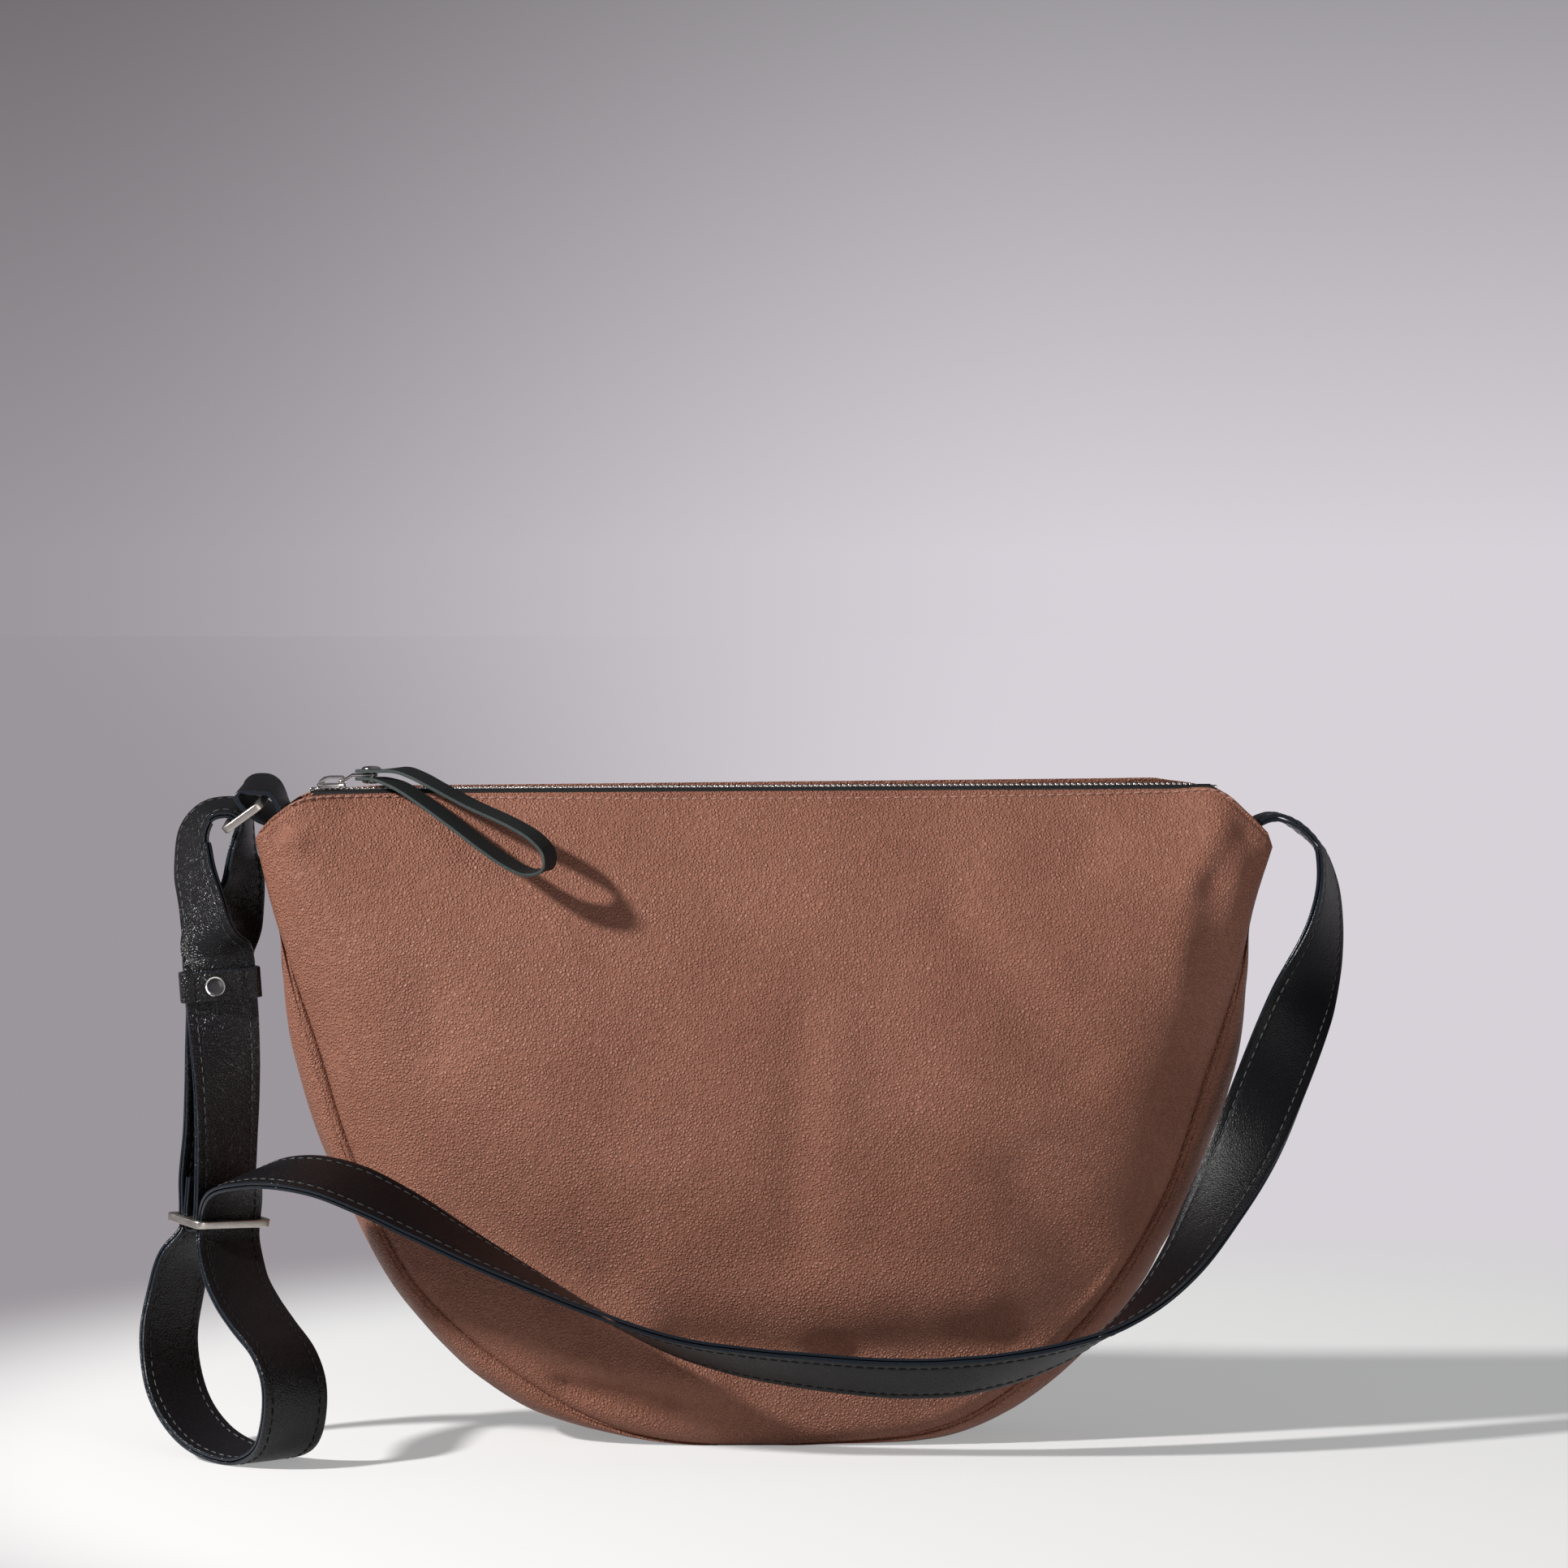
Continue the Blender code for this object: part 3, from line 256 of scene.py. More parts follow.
CLOSE = 1e-6

# From the left corner to the right one: the mouth's place and drop, the seam's place and height, the half
# depths at the mouth and at the seam, the belly, and the gusset's bulge, as shares of the bag's size.
BODY_SHARES = (
    (-0.985, 0.053, -0.997, 0.922, 0.35, 0.35, 0.00, -0.05),
    (-0.955, 0.030, -0.963, 0.816, 0.36, 0.38, 0.07, -0.05),
    (-0.895, 0.004, -0.924, 0.724, 0.33, 0.44, 0.20, 0.11),
    (-0.780, 0.000, -0.870, 0.605, 0.19, 0.52, 0.37, 0.26),
    (-0.635, 0.000, -0.800, 0.437, 0.175, 0.61, 0.48, 0.26),
    (-0.465, 0.000, -0.680, 0.246, 0.175, 0.67, 0.54, 0.24),
    (-0.275, 0.000, -0.460, 0.096, 0.175, 0.70, 0.58, 0.28),
    (-0.075, 0.000, -0.225, 0.012, 0.175, 0.70, 0.58, 0.07),
    (0.125, 0.000, 0.100, 0.002, 0.175, 0.70, 0.58, 0.02),
    (0.310, 0.000, 0.390, 0.041, 0.175, 0.70, 0.58, 0.20),
    (0.490, 0.000, 0.625, 0.191, 0.175, 0.67, 0.54, 0.28),
    (0.650, 0.000, 0.775, 0.371, 0.175, 0.63, 0.48, 0.28),
    (0.785, 0.000, 0.865, 0.566, 0.19, 0.54, 0.37, 0.28),
    (0.890, 0.004, 0.928, 0.710, 0.33, 0.44, 0.20, 0.11),
    (0.950, 0.037, 0.963, 0.824, 0.36, 0.38, 0.07, -0.05),
    (0.987, 0.066, 0.998, 0.910, 0.35, 0.35, 0.00, -0.05),
)

# Dents and folds in mm: from x, z to x, z, half width, depth (below 0 goes in)
FRONT_FOLDS = (
    (-130, 178, -128, 160, 13, -2.2),
    (-62, 186, -45, 168, 18, -1.6),
    (14, 168, 12, 78, 9, -1.3),
    (30, 160, 30, 90, 10, 0.9),
    (74, 206, 121, 152, 12, -2.8),
    (60, 170, 100, 134, 13, 1.3),
    (99, 107, 126, 66, 13, -2.4),
    (128, 236, 126, 231, 11, -1.5),
    (98, 232, 94, 228, 12, 1.2),
    (180, 246, 167, 220, 6, 1.0),
    (166, 218, 163, 185, 9, 1.3),
    (188, 239, 175, 221, 6, -1.1),
    (174, 218, 173, 190, 8, -1.4),
    (190, 218, 184, 190, 6, 0.8),
    (-191, 240, -177, 248, 4.0, -1.5),
    (-185, 237, -182, 236, 4.0, 1.6),
    (-172, 244, -166, 246, 7, -0.9),
    (-78, 24, -38, 17, 4.5, -3.6),
    (-66, 33, -20, 25, 7, 1.6),
    (-120, 86, -64, 66, 11, -2.2),
    (-34, 41, 30, 35, 8, -3.4),
    (30, 35, 92, 42, 11, -3.4),
    (-36, 62, 84, 60, 13, 1.6),
    (-10, 110, 40, 60, 16, 0.8),
)
BACK_FOLDS = (
    (-140, 190, -120, 150, 14, -2.0),
    (-20, 170, -28, 90, 11, -1.4),
    (70, 190, 118, 150, 14, -2.4),
    (120, 110, 90, 66, 12, -1.8),
    (176, 232, 168, 205, 6, -2.4),
    (-176, 232, -170, 214, 6, -2.2),
    (-60, 60, -10, 40, 10, -1.5),
)
SIDES = (("front", -1, FRONT_FOLDS), ("back", 1, BACK_FOLDS))

# Slow unevenness of the leather: share, size in mm and change of seed
UNEVENNESS = ((0.9, 46, 0), (0.3, 17, 5))
GRAIN_DRIFT = 0.0009
FINE_GRAIN_SHARE = 0.10
WIDE_GRAIN_SHARE = 0.5
CREASE_WIDTH = 0.42
# How dark the painted shade in the grain's creases is
PAINTED_CREASE_SHADE = 0.62


def smooth_values(rows, places):
    """A smooth curve through the rows of a table, read at places from 0 (first row) to 1 (last row)."""
    rows = np.asarray(rows, float)
    last = len(rows) - 1
    spots = np.clip(np.asarray(places, float), 0, 1) * last
    before = np.clip(np.floor(spots).astype(int), 0, last - 1)
    part = (spots - before)[..., None]
    padded = np.vstack([2 * rows[0] - rows[1], rows, 2 * rows[-1] - rows[-2]])
    p0, p1, p2, p3 = (padded[before + step] for step in range(4))
    bend = 2 * p0 - 5 * p1 + 4 * p2 - p3 + part * (3 * (p1 - p2) + p3 - p0)
    return p1 + part / 2 * (p2 - p0 + part * bend)


def unit(vector):
    """A direction, or rows of them, at length 1."""
    vector = np.asarray(vector, float)
    return vector / np.maximum(np.linalg.norm(vector, axis=-1, keepdims=True), CLOSE)


def zip_height(x):
    """Height of the zip's line, which rises a little to the right."""
    return BAG_HEIGHT + x * ZIP_RISE / ZIP_LENGTH


def rolled(distance, radius, sink):
    """How far an edge curls in at a distance from it."""
    part = np.clip(1 - distance / radius, 0, 1)
    return sink * (1 - np.sqrt(np.maximum(1 - part**2, 0)))


def relief(x, z, folds, seed):
    """Height of the leather over its plain shape: the folds, and a slow unevenness."""
    x = x / MM
    z = z / MM
    total = np.zeros_like(x)
    for x0, z0, x1, z1, width, depth in folds:
        run = np.array((x1 - x0, z1 - z0))
        part = np.clip(((x - x0) * run[0] + (z - z0) * run[1]) / (run @ run), 0, 1)
        apart = np.hypot(x - x0 - part * run[0], z - z0 - part * run[1])
        total += depth * np.exp(-((apart / width) ** 2))
    slow = [sum(share * noise.noise((a / size, b / size, seed + change))
                for share, size, change in UNEVENNESS) for a, b in zip(x.ravel(), z.ravel())]
    return (total + np.array(slow).reshape(x.shape)) * MM


def panel_grid(columns, rows, side, inset, folds, sunk):
    """Points of a panel: columns run from the left corner to the right, rows from the mouth to the seam."""
    columns, rows = np.meshgrid(columns, rows, indexing="ij")
    keys = smooth_values(BODY_SHARES, columns)
    top_x = keys[..., 0] * HALF_WIDTH
    ahead = np.clip((BACK_RISE_END - np.abs(top_x)) / BACK_RISE_RUN, -0.15, 1)
    rise = np.exp(-(((top_x - END_RISE_X) / END_RISE_SPREAD) ** 2)) * END_RISE - FRONT_EDGE_DROP
    edge = (BACK_EDGE_RISE + BACK_EDGE_TILT * top_x) * ahead if side > 0 else rise
    top_z = zip_height(top_x) + edge - keys[..., 1] * BAG_HEIGHT
    seam_x = keys[..., 2] * HALF_WIDTH
    seam_z = np.maximum(keys[..., 3] * BAG_HEIGHT, 0)
    half = (keys[..., 4] + (keys[..., 5] - keys[..., 4]) * rows) * HALF_DEPTH
    belly = keys[..., 6] * HALF_DEPTH * np.sin(math.pi * rows**BELLY_LOW_SHARE)
    x = top_x + (seam_x - top_x) * rows
    z = top_z + (seam_z - top_z) * rows
    out = half + belly - inset
    if folds is not None:
        length = np.hypot(seam_x - top_x, seam_z - top_z)
        from_seam = (1 - rows) * length
        calm = np.clip(rows * length / CALM_AT_MOUTH, 0, 1) * np.clip(from_seam / CALM_AT_SEAM, 0, 1)
        out = out + relief(x, z, folds, side) * calm
        along = np.cumsum(np.hypot(*np.gradient(np.stack([seam_x, seam_z]), axis=1)), axis=0)
        near = np.exp(-((from_seam / PUCKER_RUN) ** 2)) * np.clip(from_seam / PUCKER_START, 0, 1)
        out = out + PUCKER * near * np.sin(2 * math.pi * along / PUCKER_PITCH)
        out = out - MOUTH_GROOVE * np.exp(-(((rows * length - MOUTH_STITCH_DROP) / MOUTH_GROOVE_RUN) ** 2))
    y = side * out
    if sunk:
        steps = np.hypot(np.diff(x, axis=1), np.diff(z, axis=1))
        down = np.concatenate([np.zeros((len(x), 1)), np.cumsum(steps, axis=1)], axis=1)
        turned_in = rolled(down, MOUTH_ROLL, MOUTH_SINK) * (1 if inset == 0 else -1)
        y = y - side * (turned_in + rolled(down[:, -1:] - down, SEAM_ROLL, SEAM_SINK))
    return np.stack([x, y, z], axis=-1)


def crowded(count):
    """Places from 0 to 1 that lie closer together near both ends."""
    even = np.linspace(0, 1, count)
    return EVEN_SHARE * even + (1 - EVEN_SHARE) * (0.5 - 0.5 * np.cos(math.pi * even))


def linked(name, mesh, *materials):
    """A mesh as an object of the scene, with its materials."""
    made = bpy.data.objects.new(name.replace(" ", "_"), mesh)
    for material in materials:
        mesh.materials.append(material)
    bpy.context.scene.collection.objects.link(made)
    return made


def finished(shape, mesh, sharp):
    """Writes a worked shape into its mesh, faces outward and smooth but for bends sharper than an angle."""
    bmesh.ops.recalc_face_normals(shape, faces=shape.faces)
    shape.to_mesh(mesh)
    shape.free()
    mesh.shade_smooth()
    mesh.set_sharp_from_angle(angle=math.radians(sharp))
    return mesh


def outward(mesh):
    """Merges doubles and turns every face to the outside."""
    shape = bmesh.new()
    shape.from_mesh(mesh)
    bmesh.ops.remove_doubles(shape, verts=shape.verts, dist=CLOSE)
    return finished(shape, mesh, 38)


def shell(name, outer, inner, *materials):
    """A closed sheet between two grids of points."""
    columns, rows = outer.shape[:2]
    points = np.concatenate([outer.reshape(-1, 3), inner.reshape(-1, 3)])
    under = columns * rows
    index = np.arange(under).reshape(columns, rows)
    quads = np.stack([index[:-1, :-1], index[1:, :-1], index[1:, 1:], index[:-1, 1:]], axis=-1).reshape(-1, 4)
    border = np.concatenate([index[:, 0], index[-1, 1:], index[-2::-1, -1], index[0, -2:0:-1]])
    beside = np.roll(border, -1)
    rim = np.stack([beside, border, border + under, beside + under], axis=-1)
    faces = np.concatenate([quads, quads[:, ::-1] + under, rim])
    mesh = bpy.data.meshes.new(name)
    mesh.from_pydata(points.tolist(), [], faces.tolist())
    return linked(name, outward(mesh), *materials)


def grain_group():
    """Leather grain for every leather here: pebbles parted by fine creases, and a slow change of tone."""
    group = bpy.data.node_groups.new("leather grain", "ShaderNodeTree")
    group.interface.new_socket("Pebbles per metre", in_out="INPUT", socket_type="NodeSocketFloat")
    for name in ("Height", "Crease", "Tone"):
        group.interface.new_socket(name, in_out="OUTPUT", socket_type="NodeSocketFloat")
    pebbles = add(group, "NodeGroupInput").outputs[0]
    place = object_place(group)
    drift = add(group, "ShaderNodeTexNoise", {"Vector": place, "Scale": 210.0, "Detail": 2.0})
    drift = {0: drift.outputs["Color"], 1: (GRAIN_DRIFT,) * 3}
    shift = add(group, "ShaderNodeVectorMath", drift, operation="MULTIPLY").outputs[0]
    bent = add(group, "ShaderNodeVectorMath", {0: place, 1: shift}, operation="ADD").outputs[0]
    cells = add(group, "ShaderNodeTexVoronoi", {"Vector": bent, "Scale": pebbles}, feature="DISTANCE_TO_EDGE")
    crease = ramp(group, cells.outputs["Distance"], 0.0, CREASE_WIDTH, interpolation_type="SMOOTHSTEP")
    rough = maths(group, "MULTIPLY_ADD", specks(group, place, 2400.0, 3.0), FINE_GRAIN_SHARE, crease)
    swell = maths(group, "MULTIPLY_ADD", specks(group, place, 330.0, 2.0), WIDE_GRAIN_SHARE, rough)
    tone = ramp(group, specks(group, place, 16.0, 4.0), 0.34, 0.66)
    add(group, "NodeGroupOutput", {"Height": swell, "Crease": crease, "Tone": tone})
    return group


LEATHER_GRAIN = grain_group()


def new_material(name, **sockets):
    """A material with one Principled shader and constants on its own sockets."""
    made = bpy.data.materials.new(name)
    made.use_nodes = True
    shader = made.node_tree.nodes["Principled BSDF"]
    for socket, value in sockets.items():
        shader.inputs[socket.replace("_", " ")].default_value = value
    return made, made.node_tree, shader


def surface(tree, shader, colour, rough, height, depth, strength=1.0):
    """Gives a Principled shader its colour, roughness and relief."""
    bump = add(tree, "ShaderNodeBump", {"Strength": strength, "Distance": depth, "Height": height}).outputs[0]
    for socket, value in (("Base Color", colour), ("Roughness", rough), ("Normal", bump)):
        tree.links.new(value, shader.inputs[socket])


def shades(colour, *shares):
    """Darker and lighter shades of a colour."""
    return [[part * share for part in colour] for share in shares]


def leather(name, light, dark, rough, pebbles, depth, **sockets):
    """Grained leather whose tone wanders between two colours, with painted shade in its creases."""
    made, tree, shader = new_material(name, **sockets)
    grain = add(tree, "ShaderNodeGroup", {"Pebbles per metre": pebbles}, node_tree=LEATHER_GRAIN).outputs
    tone = blended(tree, grain["Tone"], dark, light)
    # painted shade: the grain's creases are darkened
    tone = blended(tree, ramp(tree, grain["Crease"], 0.0, 1.0, PAINTED_CREASE_SHADE, 1.0), *shades(dark, 0.45), tone)
    gloss = ramp(tree, grain["Tone"], 0.0, 1.0, rough + 0.05, rough - 0.04)
    surface(tree, shader, tone, gloss, grain["Height"], depth)
    return made


def dressed(made, body, nodes):
    """The piece rides on its body and stands for those solids."""
    if nodes:
        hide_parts(*nodes)
    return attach(made, body)


brown_leather = leather("brown calf", (0.312, 0.134, 0.089), (0.241, 0.097, 0.061), 0.55, 780.0, 0.00046,
                        Specular_IOR_Level=0.26)
panel_columns = np.linspace(0, 1, PANEL_COLUMNS)
panel_rows = crowded(PANEL_ROWS)
for name, side, folds in SIDES:
    outer = panel_grid(panel_columns, panel_rows, side, 0, folds, True)
    inner = panel_grid(panel_columns, panel_rows, side, PANEL_THICK, folds, True)
    panel = shell(name + " leather panel", outer, inner, brown_leather)
    dressed(panel, "bag", [name + "_panel"])


# Stitching along the mouth
# One row of thick brown thread holds the folded edge of each panel to the zip tape. Every stitch pulls the
# leather in a little, so the edge looks beaded.

MOUTH_STITCH_PITCH = 0.00375
MOUTH_STITCH_LENGTH = 0.0029
MOUTH_THREAD = 0.00095
STITCH_SIZES = (0.9, 1.08)
MOUTH_STITCH_PLACES = np.linspace(0.11, 0.89, 320)
MOUTH_STITCH_ROW = 0.011
MOUTH_STITCH_LIFT = 0.12


def row_tree(name, sizes, axis, make_piece):
    """A node tree that sets pieces along a line of points, one per pitch, and makes one plain mesh of them.

    make_piece gives the piece and its scale, and axis is the piece's own axis that follows the line.
    """
    group = bpy.data.node_groups.new(name, "GeometryNodeTree")
    for socket, kind in {"Geometry": "Geometry", "Pitch": "Float", **sizes, "Material": "Material"}.items():
        group.interface.new_socket(socket, in_out="INPUT", socket_type="NodeSocket" + kind)
    group.interface.new_socket("Geometry", in_out="OUTPUT", socket_type="NodeSocketGeometry")
    given = add(group, "NodeGroupInput").outputs
    line = add(group, "GeometryNodeMeshToCurve", {0: given["Geometry"]}).outputs[0]
    spaced = add(group, "GeometryNodeResampleCurve", {"Curve": line, "Length": given["Pitch"]}, mode="LENGTH")
    piece, scale = make_piece(group, given)
    tangent = add(group, "GeometryNodeInputTangent").outputs[0]
    way = add(group, "FunctionNodeAlignRotationToVector", {"Vector": tangent}, axis=axis).outputs[0]
    rows = add(group, "GeometryNodeInstanceOnPoints",
               {"Points": spaced.outputs[0], "Instance": piece, "Rotation": way, "Scale": scale})
    plain = add(group, "GeometryNodeRealizeInstances", {0: rows.outputs[0]}).outputs[0]
    coloured = add(group, "GeometryNodeSetMaterial", {"Geometry": plain, "Material": given["Material"]})
    add(group, "NodeGroupOutput", {0: coloured.outputs[0]})
    return group


def stitch(group, given):
    """One long bead of thread, no two quite the same size."""
    bead = add(group, "GeometryNodeMeshUVSphere", {"Segments": 6, "Rings": 5, "Radius": 0.5})
    size = add(group, "ShaderNodeCombineXYZ", {0: given["Thread"], 1: given["Thread"], 2: given["Length"]})
    vary = add(group, "FunctionNodeRandomValue", {"Seed": given["Seed"]}, data_type="FLOAT")
    vary.inputs[2].default_value, vary.inputs[3].default_value = STITCH_SIZES
    varied = {0: size.outputs[0], "Scale": vary.outputs[1]}
    return bead.outputs[0], add(group, "ShaderNodeVectorMath", varied, operation="SCALE").outputs[0]


STITCH_ROW = row_tree("stitch row", {"Length": "Float", "Thread": "Float", "Seed": "Int"}, "Z", stitch)


def grown(name, lines, tree, material, **sizes):
    """Runs a node tree on lines of points and keeps the result as one plain mesh."""
    points = [tuple(point) for line in lines for point in line]
    starts = np.cumsum([0, *(len(line) for line in lines)]).tolist()
    edges = [(start + step, start + step + 1)
             for start, line in zip(starts, lines) for step in range(len(line) - 1)]
    mesh = bpy.data.meshes.new(name)
    mesh.from_pydata(points, edges, [])
    made = linked(name, mesh)
    maker = made.modifiers.new("maker", "NODES")
    maker.node_group = tree
    for item in tree.interface.items_tree:
        if item.in_out == "INPUT" and item.name in sizes:
            maker[item.identifier] = sizes[item.name]
        elif item.in_out == "INPUT" and item.name == "Material":
            maker[item.identifier] = material
    graph = bpy.context.evaluated_depsgraph_get()
    plain = bpy.data.meshes.new_from_object(made.evaluated_get(graph), preserve_all_data_layers=True,
                                            depsgraph=graph)
    made.modifiers.remove(maker)
    made.data = plain
    plain.name = name
    plain.shade_smooth()
    if not plain.materials:
        plain.materials.append(material)
    return made


def thread(name, colour, rough=0.55, **sockets):
    """Twisted thread: slanting ridges along each stitch, with painted shade in the grooves between them."""
    made, tree, shader = new_material(name, **sockets)
    place = object_place(tree)
    ply = add(tree, "ShaderNodeTexWave", {"Vector": place, "Scale": 900.0, "Distortion": 1.5},
              bands_direction="DIAGONAL").outputs["Fac"]
    gloss = ramp(tree, specks(tree, place, 3000.0, 2.0), 0.3, 0.7, rough, rough + 0.2)
    # painted shade: the thread is darker in the grooves between its ridges
    surface(tree, shader, blended(tree, ply, *shades(colour, 0.62, 1)), gloss, ply, 0.0001, 0.6)
    return made


brown_thread = thread("brown thread", (0.37, 0.19, 0.14))
for name, side, folds in SIDES:
    line = panel_grid(MOUTH_STITCH_PLACES, np.array((0, MOUTH_STITCH_ROW)), side, 0, folds, False)[:, 1]
    line[:, 1] += side * MOUTH_THREAD * MOUTH_STITCH_LIFT
    stitches = grown(name + " mouth stitches", [line], STITCH_ROW, brown_thread, Pitch=MOUTH_STITCH_PITCH,
                     Length=MOUTH_STITCH_LENGTH, Thread=MOUTH_THREAD, Seed=3 + side)
    dressed(stitches, "bag", [])


# Gusset
# One long band of the same calf, sewn between the panels from corner to corner. Both its edges turn in to the
# seams, so a soft valley runs along each, and it bulges a little between them.

GUSSET_COLUMNS = 330
GUSSET_ROWS = 34
GUSSET_ROLL = 0.0022
GUSSET_SINK = 0.0019
GUSSET_SINK_RUN = 0.004
GUSSET_SWELL = 0.0052
GUSSET_SWELL_RUN = 0.020
GUSSET_SEED = 9
GUSSET_CALM = 0.010
GUSSET_FLOOR_CALM = 0.012
SEAM_GAP = 0.0003
GUSSET_FOLDS = ((45, -1, 91, 11, 5, -1.5), (-120, 60, -150, 100, 8, -0.9), (150, 80, 168, 120, 8, -0.9))


def gusset_skin(columns, across, inset):
    """Points of the gusset: across runs from the front seam (-1) to the back seam (1)."""
    columns, across = np.meshgrid(columns, across, indexing="ij")
    keys = smooth_values(BODY_SHARES, columns)
    step = 0.5 / len(BODY_SHARES) / 6
    ahead = smooth_values(BODY_SHARES, columns + step)[..., 2:4]
    behind = smooth_values(BODY_SHARES, columns - step)[..., 2:4]
    run = unit((ahead - behind) * (HALF_WIDTH, BAG_HEIGHT))
    half = keys[..., 5] * HALF_DEPTH - PANEL_THICK - SEAM_GAP
    out = keys[..., 7] * HALF_DEPTH * (1 - across**2) - inset
    x = keys[..., 2] * HALF_WIDTH
    z = keys[..., 3] * BAG_HEIGHT
    from_seam = (1 - np.abs(across)) * half
    out = out - rolled(from_seam, GUSSET_ROLL, GUSSET_SINK)
    calm = np.clip(from_seam / GUSSET_CALM, 0, 1)
    out = out + relief(x, z, GUSSET_FOLDS, GUSSET_SEED) * calm * np.clip(z / GUSSET_FLOOR_CALM, 0, 1)
    swell = GUSSET_SWELL * np.sin(math.pi * np.clip(from_seam / GUSSET_SWELL_RUN, 0, 1))
    sink = SEAM_SINK * (1 - np.clip(from_seam / GUSSET_SINK_RUN, 0, 1)) ** 2
    across = across + np.sign(across) * (swell - sink) / half
    x = x + run[..., 1] * out
    z = z - run[..., 0] * out
    return np.stack([x, across * half, np.maximum(z, inset)], axis=-1)


gusset_columns = np.linspace(0, 1, GUSSET_COLUMNS)
gusset_across = crowded(GUSSET_ROWS) * 2 - 1
outer, inner = (gusset_skin(gusset_columns, gusset_across, inset) for inset in (0, PANEL_THICK))
gusset = shell("gusset leather", outer, inner, brown_leather)
dressed(gusset, "bag", ["gusset_band"])


# Lining
# Thin dark cotton hangs loosely inside each panel, cut to the same crescent and caught only along the mouth.

LINING_GAP = 0.0012
LINING_THICK = 0.0004
LINING_SIDE_SHARE = 0.12
LINING_TOP_SHARE = 0.05
LINING_LOW_SHARE = 0.92
LINING_COLUMNS = 90
LINING_ROWS = 50
RIPPLE = 0.0009
RIPPLE_RUN = 0.011


def woven(name, colour, threads, depth):
    """Plain weave: warp and weft ridges at right angles, and slubs that change the tone."""
    made, tree, shader = new_material(name, Sheen_Weight=0.04, Specular_IOR_Level=0.12)
    place = object_place(tree)
    warp, weft = (add(tree, "ShaderNodeTexWave", {"Vector": place, "Scale": threads}, bands_direction=way)
                  for way in "XZ")
    cloth = maths(tree, "MULTIPLY", warp.outputs["Fac"], weft.outputs["Fac"])
    tone = blended(tree, specks(tree, place, 420.0, 3.0), *shades(colour, 0.55, 1.3))
    surface(tree, shader, tone, ramp(tree, cloth, 0.0, 1.0, 0.95, 0.80), cloth, depth, 0.8)
    return made


lining_cloth = woven("lining cotton", (0.075, 0.066, 0.062), 620.0, 0.00008)
lining_columns = np.linspace(LINING_SIDE_SHARE, 1 - LINING_SIDE_SHARE, LINING_COLUMNS)
lining_rows = np.linspace(LINING_TOP_SHARE, LINING_LOW_SHARE, LINING_ROWS)
hang = np.sin(math.pi * np.linspace(0, 1, LINING_ROWS)) ** 2
for name, side, folds in SIDES:
    outer = panel_grid(lining_columns, lining_rows, side, PANEL_THICK + LINING_GAP, folds, False)
    outer[..., 1] -= side * np.abs(RIPPLE * np.sin(outer[..., 0] / RIPPLE_RUN) * hang)
    inner = outer - (0, side * LINING_THICK, 0)
    lining = shell(name + " lining cloth", outer, inner, lining_cloth)
    dressed(lining, "bag", ["lining_" + name])
    low, high = outer.reshape(-1, 3).min(axis=0), outer.reshape(-1, 3).max(axis=0)


# Zip tapes
# Black woven tape runs from the teeth outwards, bends down and is sewn behind the folded mouth of each panel.

COMB_HALF = 0.0024
COMB_HEIGHT = 0.0020
RUN_GAP = 0.0003
FRONT_TEETH_TALL = 0.0024
BACK_TEETH_TALL = 0.0014
TAPE_THICK = 0.0006
TAPE_BEND_Y = 0.0052
TAPE_DROP_SHARE = 0.03
TAPE_GAP = 0.0007
TAPE_SAG = 0.0014
TAPE_COLUMN_SHARE = 0.14
TAPE_STATIONS = 160
TAPE_FACE_WAYS = np.array([(0, share, 0.5) for share in (0, 0, 0.25, 0.5, 0.5, 0.5)])

zip_tape = woven("zip tape", (0.007, 0.007, 0.008), 1300.0, 0.00006)
for name, side in (("front", -1), ("back", 1)):
    columns = np.linspace(TAPE_COLUMN_SHARE, 1 - TAPE_COLUMN_SHARE, TAPE_STATIONS)
    inset = PANEL_THICK + TAPE_GAP + TAPE_THICK / 2
    behind = panel_grid(columns, np.array((0, TAPE_DROP_SHARE)), side, inset, None, False)
    hem, low = behind[:, 0], behind[:, 1]
    level = zip_height(hem[:, 0])
    for row in (hem, low):
        row[:, 2] = np.minimum(row[:, 2], level - TAPE_SAG)
    inner_edge = np.stack([hem[:, 0], np.full(TAPE_STATIONS, side * (COMB_HALF + RUN_GAP)), level], axis=-1)
    bend = np.stack([hem[:, 0], np.full(TAPE_STATIONS, side * TAPE_BEND_Y), level - TAPE_SAG], axis=-1)
    rows = np.stack([inner_edge, (inner_edge + bend) / 2, bend, (bend + hem) / 2, hem, low], axis=1)
    thick = TAPE_FACE_WAYS * (1, side, 1) * TAPE_THICK
    tape = shell(name + " woven tape", rows + thick, rows - thick, zip_tape)
    dressed(tape, "bag", ["zip_tape_" + name])


# Zip teeth
# Nickel teeth are clamped round the edge of each tape, one every 2.2 mm, the two rows half a pitch apart.
# Their tips leave room for the slider's neck, and painted shade darkens them low down.

TOOTH_PITCH = 0.0022
TOOTH_WIDTH = 0.00105
TOOTH_TIP = 0.0004
END_TEETH_X = 0.1655
END_TEETH_RUN = 0.009
END_TEETH_SHARE = 0.42
END_SINK = 0.0007
# Heights in a tooth over which the painted shade low down fades out
TOOTH_SHADE_HEIGHTS = (-0.0005, 0.0004)


